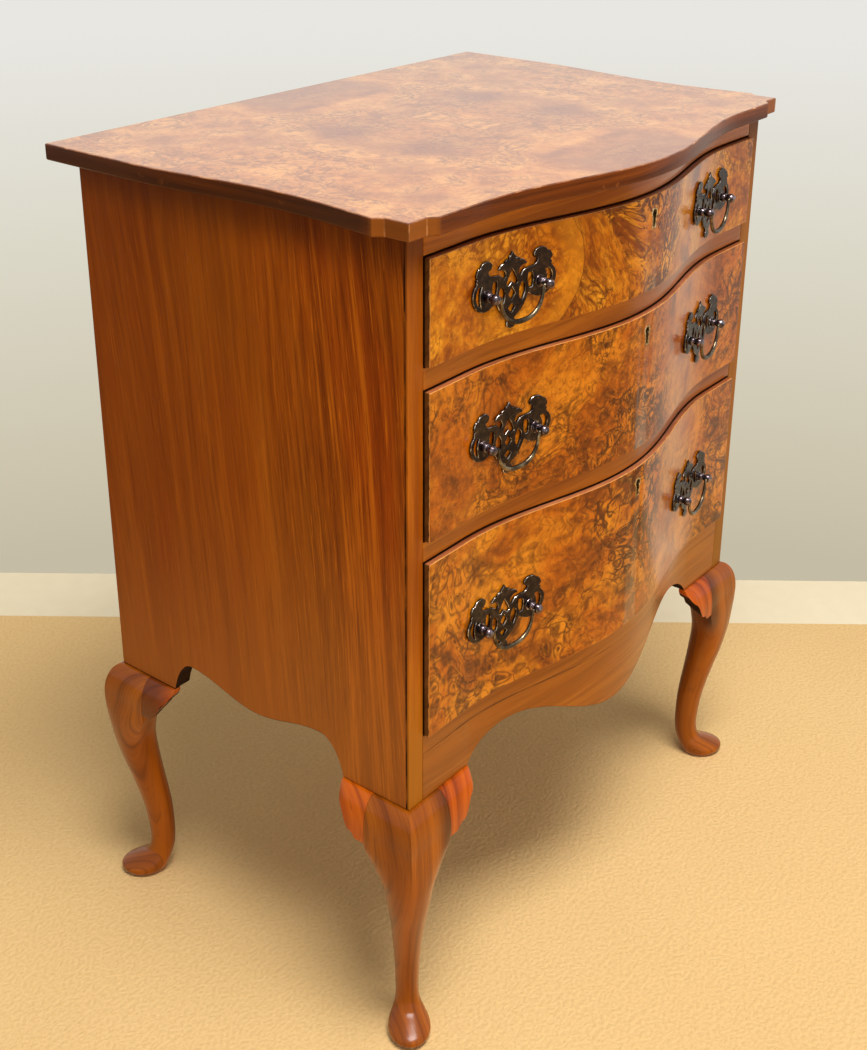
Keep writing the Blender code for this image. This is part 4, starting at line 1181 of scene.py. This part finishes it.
class HandlePlace:
    """Where one handle sits: its plate lies on the curved front, and its posts stand square to their line."""

    def __init__(self, side, height):
        self.middle = side * HANDLE_PLACE
        self.height = height
        half = POST_CENTRES / 2
        self.feet = [self.on_front(across, 0.0, PLATE_BACK + PLATE_THICKNESS) for across in (-half, half)]
        self.axis = (self.feet[1] - self.feet[0]).normalized()
        self.outward = Vector((self.axis.y, -self.axis.x, 0.0))

    def on_front(self, across, up, stand_off):
        x = self.middle + across
        return Vector((x, FACE_Y - swell(x) - stand_off, self.height + up))

    def on_plate(self, across, up, out):
        return self.on_front(across, up, PLATE_BACK + PLATE_THICKNESS / 2 + out)

    def beside(self, point, across, out, up):
        return point + self.axis * across + self.outward * out + Vector((0.0, 0.0, up))


def make_plate_pattern():
    """The pierced plate, still flat, with cuts across it so that it can be bent."""
    plate = cut_plate("plate_pattern", plate_loops(), PLATE_THICKNESS, PLATE_ROUNDING, 58.0)
    for x in spread(-PLATE_BEND, PLATE_BEND, PLATE_CUTS):
        open_unselected(plate, "VERT")
        bpy.ops.mesh.select_all(action="SELECT")
        bpy.ops.mesh.bisect(plane_co=(x, 0.0, 0.0), plane_no=(1.0, 0.0, 0.0))
        bpy.ops.object.mode_set(mode="OBJECT")
    return plate


def make_post_pattern():
    """A post standing up z: a base, a bead, a neck and a ball."""
    bead_top = POST_REACH - POST_BALL
    profile = [(-0.0008, POST_BASE - 0.0004), (0.0, POST_BASE), (0.0004, POST_BASE - 0.0002)]
    for turn in spread(math.radians(35.0), math.radians(150.0), BEAD_STEPS):
        out = bead_top * (1.0 - math.cos(turn)) / 2
        profile.append((out, POST_NECK + (POST_BEAD - POST_NECK) * math.sin(turn)))
    profile.append((bead_top, POST_NECK))
    for turn in spread(math.radians(48.0), math.radians(174.0), BALL_STEPS):
        profile.append((POST_REACH - POST_BALL * math.cos(turn), POST_BALL * math.sin(turn)))
    turns = [2 * math.pi * i / POST_SIDES for i in range(POST_SIDES)]
    rings = [[(r * math.cos(turn), r * math.sin(turn), out) for turn in turns] for out, r in profile]
    return skin("post_pattern", rings)


def make_bail_pattern():
    """A bail hanging in the plane of x and z about its pivot line, thicker at the bottom."""
    pin = POST_CENTRES / 2 - POST_BALL - FIT
    half = [(pin, 0.0), ((pin + BAIL_HALF_WIDTH) / 2, 0.0)]
    power = 2.0 / BAIL_SQUARENESS
    for turn in spread(math.radians(BAIL_SHOULDER), math.pi / 2, BAIL_STEPS):
        half.append((BAIL_HALF_WIDTH * math.cos(turn) ** power, -BAIL_DROP * math.sin(turn) ** power))
    half[-1] = (0.0, half[-1][1])
    path = [(-across, up) for across, up in half] + list(reversed(half[:-1]))
    rings = []
    for i, (across, up) in enumerate(path):
        before, after = path[max(i - 1, 0)], path[min(i + 1, len(path) - 1)]
        heading = math.atan2(after[1] - before[1], after[0] - before[0])
        if i in (0, len(path) - 1):
            heading = 0.0
        radius = BAIL_END + (BAIL_MIDDLE - BAIL_END) * (up / BAIL_DROP) ** 2
        ring = []
        for j in range(BAIL_SIDES):
            turn = 2 * math.pi * j / BAIL_SIDES
            side = radius * math.cos(turn)
            aside, rise = -side * math.sin(heading), side * math.cos(heading)
            ring.append((across + aside, radius * math.sin(turn), up + rise))
        rings.append(ring)
    return skin("bail_pattern", rings)


def make_handles(dark, rubbed, turned, drawn):
    """Six handles from one plate, one post and one bail."""
    plate_pattern = make_plate_pattern()
    post_pattern = make_post_pattern()
    bail_pattern = make_bail_pattern()
    for word in DRAWERS:
        for side_word, side in SIDES.items():
            pivot = PIVOT_OF[word + "_" + side_word + "_bail"]
            spot = HandlePlace(side, pivot.z)
            node = word + "_handle_" + side_word
            plate = placed_copy(plate_pattern, "pierced_" + node, spot.on_plate)
            for foot in spot.feet:
                place = lambda across, up, out: spot.beside(foot, across, out, up)
                join(plate, placed_copy(post_pattern, "post_copy", place))
            shade(plate, 50.0)

            def choose(middle, normal):
                if FACE_Y - swell(middle.x) - middle.y > PLATE_BACK + PLATE_THICKNESS + POST_START:
                    return 2
                return int(RUBBED_TILTS[0] < abs(normal.dot(spot.outward)) < RUBBED_TILTS[1])

            stand_for(plate, node, dark, rubbed, turned, choose=choose)
            bail_node = word + "_bail_" + side_word
            place = lambda across, out, up: spot.beside(pivot, across, out, up)
            bail = placed_copy(bail_pattern, "drop_" + bail_node, place)
            shade(bail, 50.0)
            stand_for(bail, bail_node, drawn)
    for pattern in (plate_pattern, post_pattern, bail_pattern):
        bpy.data.objects.remove(pattern, do_unlink=True)


def make_escutcheons(finish):
    loops = [keyhole_outline(KEYHOLE_WALL), keyhole_outline(0.0)]
    pattern = cut_plate("escutcheon_pattern", loops, ESCUTCHEON_DEPTH, ESCUTCHEON_ROUNDING, 30.0)
    for word in DRAWERS:
        node = word + "_escutcheon"
        low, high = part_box(node)
        place = lambda across, up, out: (low + high) / 2 + Vector((across, -out, up))
        piece = placed_copy(pattern, "thread_" + node, place)
        shade(piece)
        stand_for(piece, node, finish)
    bpy.data.objects.remove(pattern, do_unlink=True)


def finish_node(node, finish):
    """Gives a CAD node that stays as it is its finish."""
    piece = frame["nodes"][node]
    for slot in piece.material_slots:
        slot.material = finish


# Camera, floor and light

def aim_camera():
    yaw, pitch, roll = (math.radians(angle) for angle in CAMERA_TURN)
    heading = Vector((math.sin(yaw) * math.cos(pitch), math.cos(yaw) * math.cos(pitch), -math.sin(pitch)))
    turn = heading.to_track_quat("-Z", "Y").to_matrix() @ Matrix.Rotation(roll, 3, "Z")
    lens = bpy.data.cameras.new("camera")
    lens.sensor_width = SENSOR
    lens.lens = FOCAL_LENGTH / PICTURE_HEIGHT * SENSOR
    lens.shift_x = (PICTURE_WIDTH / 2 - LENS_CENTRE[0]) / PICTURE_HEIGHT
    lens.shift_y = -(PICTURE_HEIGHT / 2 - LENS_CENTRE[1]) / PICTURE_HEIGHT
    camera = bpy.data.objects.new("camera", lens)
    camera.matrix_world = Matrix.Translation(CAMERA_PLACE) @ turn.to_4x4()
    bpy.context.scene.collection.objects.link(camera)
    bpy.context.scene.camera = camera


def lay_floor():
    """A pale floor with a white strip along its far end."""
    heading = math.radians(90.0 - CAMERA_TURN[0])
    ahead = Vector((math.cos(heading), math.sin(heading)))
    aside = Vector((ahead.y, -ahead.x))
    carpet = Finish("pale_carpet", roughness=0.9, shine=0.1)
    tufts = carpet.noise(carpet.place, 260.0, 3.0)
    carpet.shown = carpet.mix(carpet.noise(carpet.place, 3.0), (220, 184, 126), (232, 196, 138))
    carpet.stain(tufts.level(0.4, 0.65, 0.0, 0.3), (204, 166, 106))
    strip = Finish("white_strip", roughness=0.8, shine=0.1)
    strip.shown = strip.mix(strip.noise(strip.place, 40.0), (230, 215, 182), (238, 224, 192))
    floors = (
        ("floor", FLOOR_NEAR, FLOOR_LINE, carpet.done(tufts, 0.0015)),
        ("floor_end", FLOOR_LINE, FLOOR_FAR, strip.done()),
    )
    for name, near, far, finish in floors:
        start_clean()
        bpy.ops.mesh.primitive_plane_add(size=1.0)
        floor = bpy.context.object
        floor.name = name
        for point in floor.data.vertices:
            reach = far if point.co.x > 0 else near
            place = CAMERA_PLACE.xy + ahead * reach + aside * math.copysign(FLOOR_HALF, point.co.y)
            point.co = (place.x, place.y, 0.0)
        face_outwards(floor)
        paint(floor, finish)


def soft_light(name, place, target, size, power, mirrored):
    lamp = bpy.data.lights.new(name, "AREA")
    lamp.shape = "RECTANGLE"
    lamp.size, lamp.size_y = size
    lamp.energy = power
    lamp.color = WARM_WHITE
    light = bpy.data.objects.new(name, lamp)
    light.location = place
    light.rotation_euler = (Vector(target) - Vector(place)).to_track_quat("-Z", "Y").to_euler()
    light.visible_camera = False
    light.visible_glossy = mirrored
    bpy.context.scene.collection.objects.link(light)


def light_room():
    """A pale room that darkens a little towards the floor, with a lamp overhead and a broad low window."""
    world = bpy.data.worlds.new("pale_room")
    bpy.context.scene.world = world
    room = Nodes(world)
    x, _, z = room.parts(room.add("TexCoord", output="Generated"))
    wall = room.ramp(
        room.add("MapRange", (z, -0.55, 0.05)),
        (0.13, (197, 188, 165)), (0.23, (206, 198, 175)), (0.44, (220, 216, 200)), (0.66, (232, 231, 226)),
    )
    backdrop = room.tree.nodes["Background"]
    room.feed(backdrop.inputs["Color"], wall)
    backdrop.inputs["Strength"].default_value = 1.0
    strength = room.add("MapRange", (x, -1.0, 1.0, 0.26, 0.46))
    glow = room.add("Background", {"Color": (*WARM_WHITE, 1.0), "Strength": strength})
    rays = ("Is Camera Ray", "Is Glossy Ray", "Is Transmission Ray")
    direct, glossy, through = room.add("LightPath", output=rays)
    seen = direct.larger(glossy).larger(through)
    sky = room.add("MixShader", (seen, glow, Field(room, backdrop.outputs[0])))
    room.feed(room.tree.nodes["World Output"].inputs["Surface"], sky)
    soft_light("ceiling", (-0.45, -0.85, 2.9), (-0.05, -0.1, 0.3), (1.4, 0.9), 84.0, True)
    soft_light("window", (-0.9, -3.2, 0.58), (0.0, 0.0, 0.45), (2.4, 1.0), 45.0, False)


# The whole chest

def make_carcass(lining):
    rails = rail_walnut("rail_walnut", 1.7, ((112, 53, 6), (144, 75, 10), (160, 88, 14), (178, 106, 26)))
    # Painted light: the top rail gets paler tones to make up for the shade of the top's overhang
    lit_top_rail_tones = ((130, 62, 8), (166, 88, 12), (184, 102, 17), (204, 122, 30))
    apron_tones = ((116, 58, 7), (144, 78, 12), (157, 89, 17), (176, 109, 31))
    apron = rail_walnut("apron_walnut", 7.9, apron_tones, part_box("bottom_rail")[0].z)
    shaded_underside = underside_and_shade("rough_shaded_underside")
    make_rail("top_rail", rail_walnut("lit_top_rail_walnut", 3.1, lit_top_rail_tones))
    make_rail("upper_rail", rails)
    make_rail("lower_rail", rails)
    make_rail("bottom_rail", apron, FLUSH_EASING)
    make_apron(apron, shaded_underside)
    side = side_walnut("side_walnut")
    upright = upright_walnut("stile_walnut")
    for word in SIDES:
        make_side(word, side, shaded_underside)
        make_stile(word, upright)
    make_top(top_veneer("top_burr"), edge_walnut("top_edge_walnut"), worn_arris("rubbed_arris"))
    leg_tones = ((94, 41, 2), (136, 66, 3), (157, 80, 4), (180, 101, 12))
    ear_tones = ((120, 44, 2), (172, 73, 3), (194, 89, 5), (214, 112, 14))
    legs = leg_walnut("leg_walnut", leg_tones, inner_shade_amount=0.5)
    # The ears get painted shade towards the back
    make_stand(legs, leg_walnut("ear_walnut", ear_tones, rear_shade=0.80), shaded_underside)
    finish_node("back_panel", back_boards("stained_back"))
    for node in ("upper_dustboard", "lower_dustboard", "bottom_board"):
        finish_node(node, lining)


def make_drawers(lining):
    edge_tones = ((104, 50, 22), (146, 78, 40), (170, 100, 60), (190, 128, 88))
    # Painted shade: the drawer fronts' ends get a darker copy of the edge finish
    shaded_end_tones = ((62, 36, 15), (88, 54, 24), (108, 68, 31), (130, 86, 42))
    edge = veneer_edge("drawer_edge_walnut", edge_tones)
    end = veneer_edge("shaded_drawer_end_walnut", shaded_end_tones, ((170, 122, 76), (206, 164, 116)))
    upper_height = [corner.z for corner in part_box("upper_drawer_front")]
    upper_tones = ((76, 30, 1), (116, 51, 1), (179, 98, 4), (210, 136, 24))
    middle_tones = ((62, 24, 1), (104, 45, 1), (167, 83, 3), (198, 116, 18))
    lower_tones = ((66, 25, 1), (110, 48, 1), (176, 90, 3), (206, 125, 20))
    burrs = {
        "upper": burr_veneer("upper_burr", 0.6, upper_tones, 0.46, height=upper_height),
        "middle": burr_veneer("middle_burr", 1.9, middle_tones, 0.30, size=1.05),
        "lower": burr_veneer("lower_burr", 2.8, lower_tones, 0.42, size=1.55),
    }
    lining_along_y = lining_wood("lining_along_y", "y", 9.6)
    steel = old_metal(
        "lock_steel", 0.45, 0.9, 120.0, 4.0, ((0.36, (92, 88, 82)), (0.62, (148, 142, 132))),
        spots=(320.0, 0.6, 0.7, (104, 70, 46), 0.00004),
    )
    for word in DRAWERS:
        make_front(word, burrs[word], edge, end, lining)
        for side_word in SIDES:
            finish_node(word + "_drawer_side_" + side_word, lining_along_y)
        for piece in ("drawer_back", "drawer_bottom"):
            finish_node(word + "_" + piece, lining)
        for piece in ("lock_case", "lock_bolt"):
            finish_node(word + "_" + piece, steel)


def make_brasses():
    """Nearly black handle plates with bright edges, cooler posts, worn bails and bright keyholes."""
    dark = old_metal(
        "dark_bronze", 0.30, 0.85, 190.0, 4.0,
        ((0.34, (36, 28, 27)), (0.54, (54, 43, 40)), (0.72, (82, 66, 57))),
        (0.35, 0.70, 0.36, 0.20), (900.0, 0.5, 0.6, (30, 20, 15), 0.00005),
    )
    rubbed = old_metal(
        "rubbed_bronze", 0.20, 0.95, 190.0, 4.0,
        ((0.38, (52, 43, 40)), (0.50, (118, 107, 100)), (0.60, (206, 198, 190))), (0.35, 0.65, 0.34, 0.16),
    )
    turned = old_metal(
        "post_bronze", 0.20, 0.92, 260.0, 3.0,
        ((0.36, (46, 37, 38)), (0.52, (96, 83, 87)), (0.68, (170, 158, 164))), (0.35, 0.70, 0.26, 0.16),
    )
    drawn = old_metal(
        "bail_bronze", 0.24, 0.95, 90.0, 4.0,
        ((0.34, (46, 39, 34)), (0.50, (94, 82, 67)), (0.68, (156, 141, 114))), (0.35, 0.70, 0.34, 0.20),
    )
    bright = old_metal(
        "keyhole_brass", 0.30, 0.95, 420.0, 3.0,
        ((0.36, (112, 88, 54)), (0.48, (180, 150, 98)), (0.62, (236, 216, 172))),
    )
    make_handles(dark, rubbed, turned, drawn)
    make_escutcheons(bright)


def main():
    bpy.context.scene.view_settings.view_transform = "Standard"
    aim_camera()
    lay_floor()
    light_room()
    lining_along_x = lining_wood("lining_along_x", "x", 8.8)
    make_carcass(lining_along_x)
    make_drawers(lining_along_x)
    make_brasses()


main()
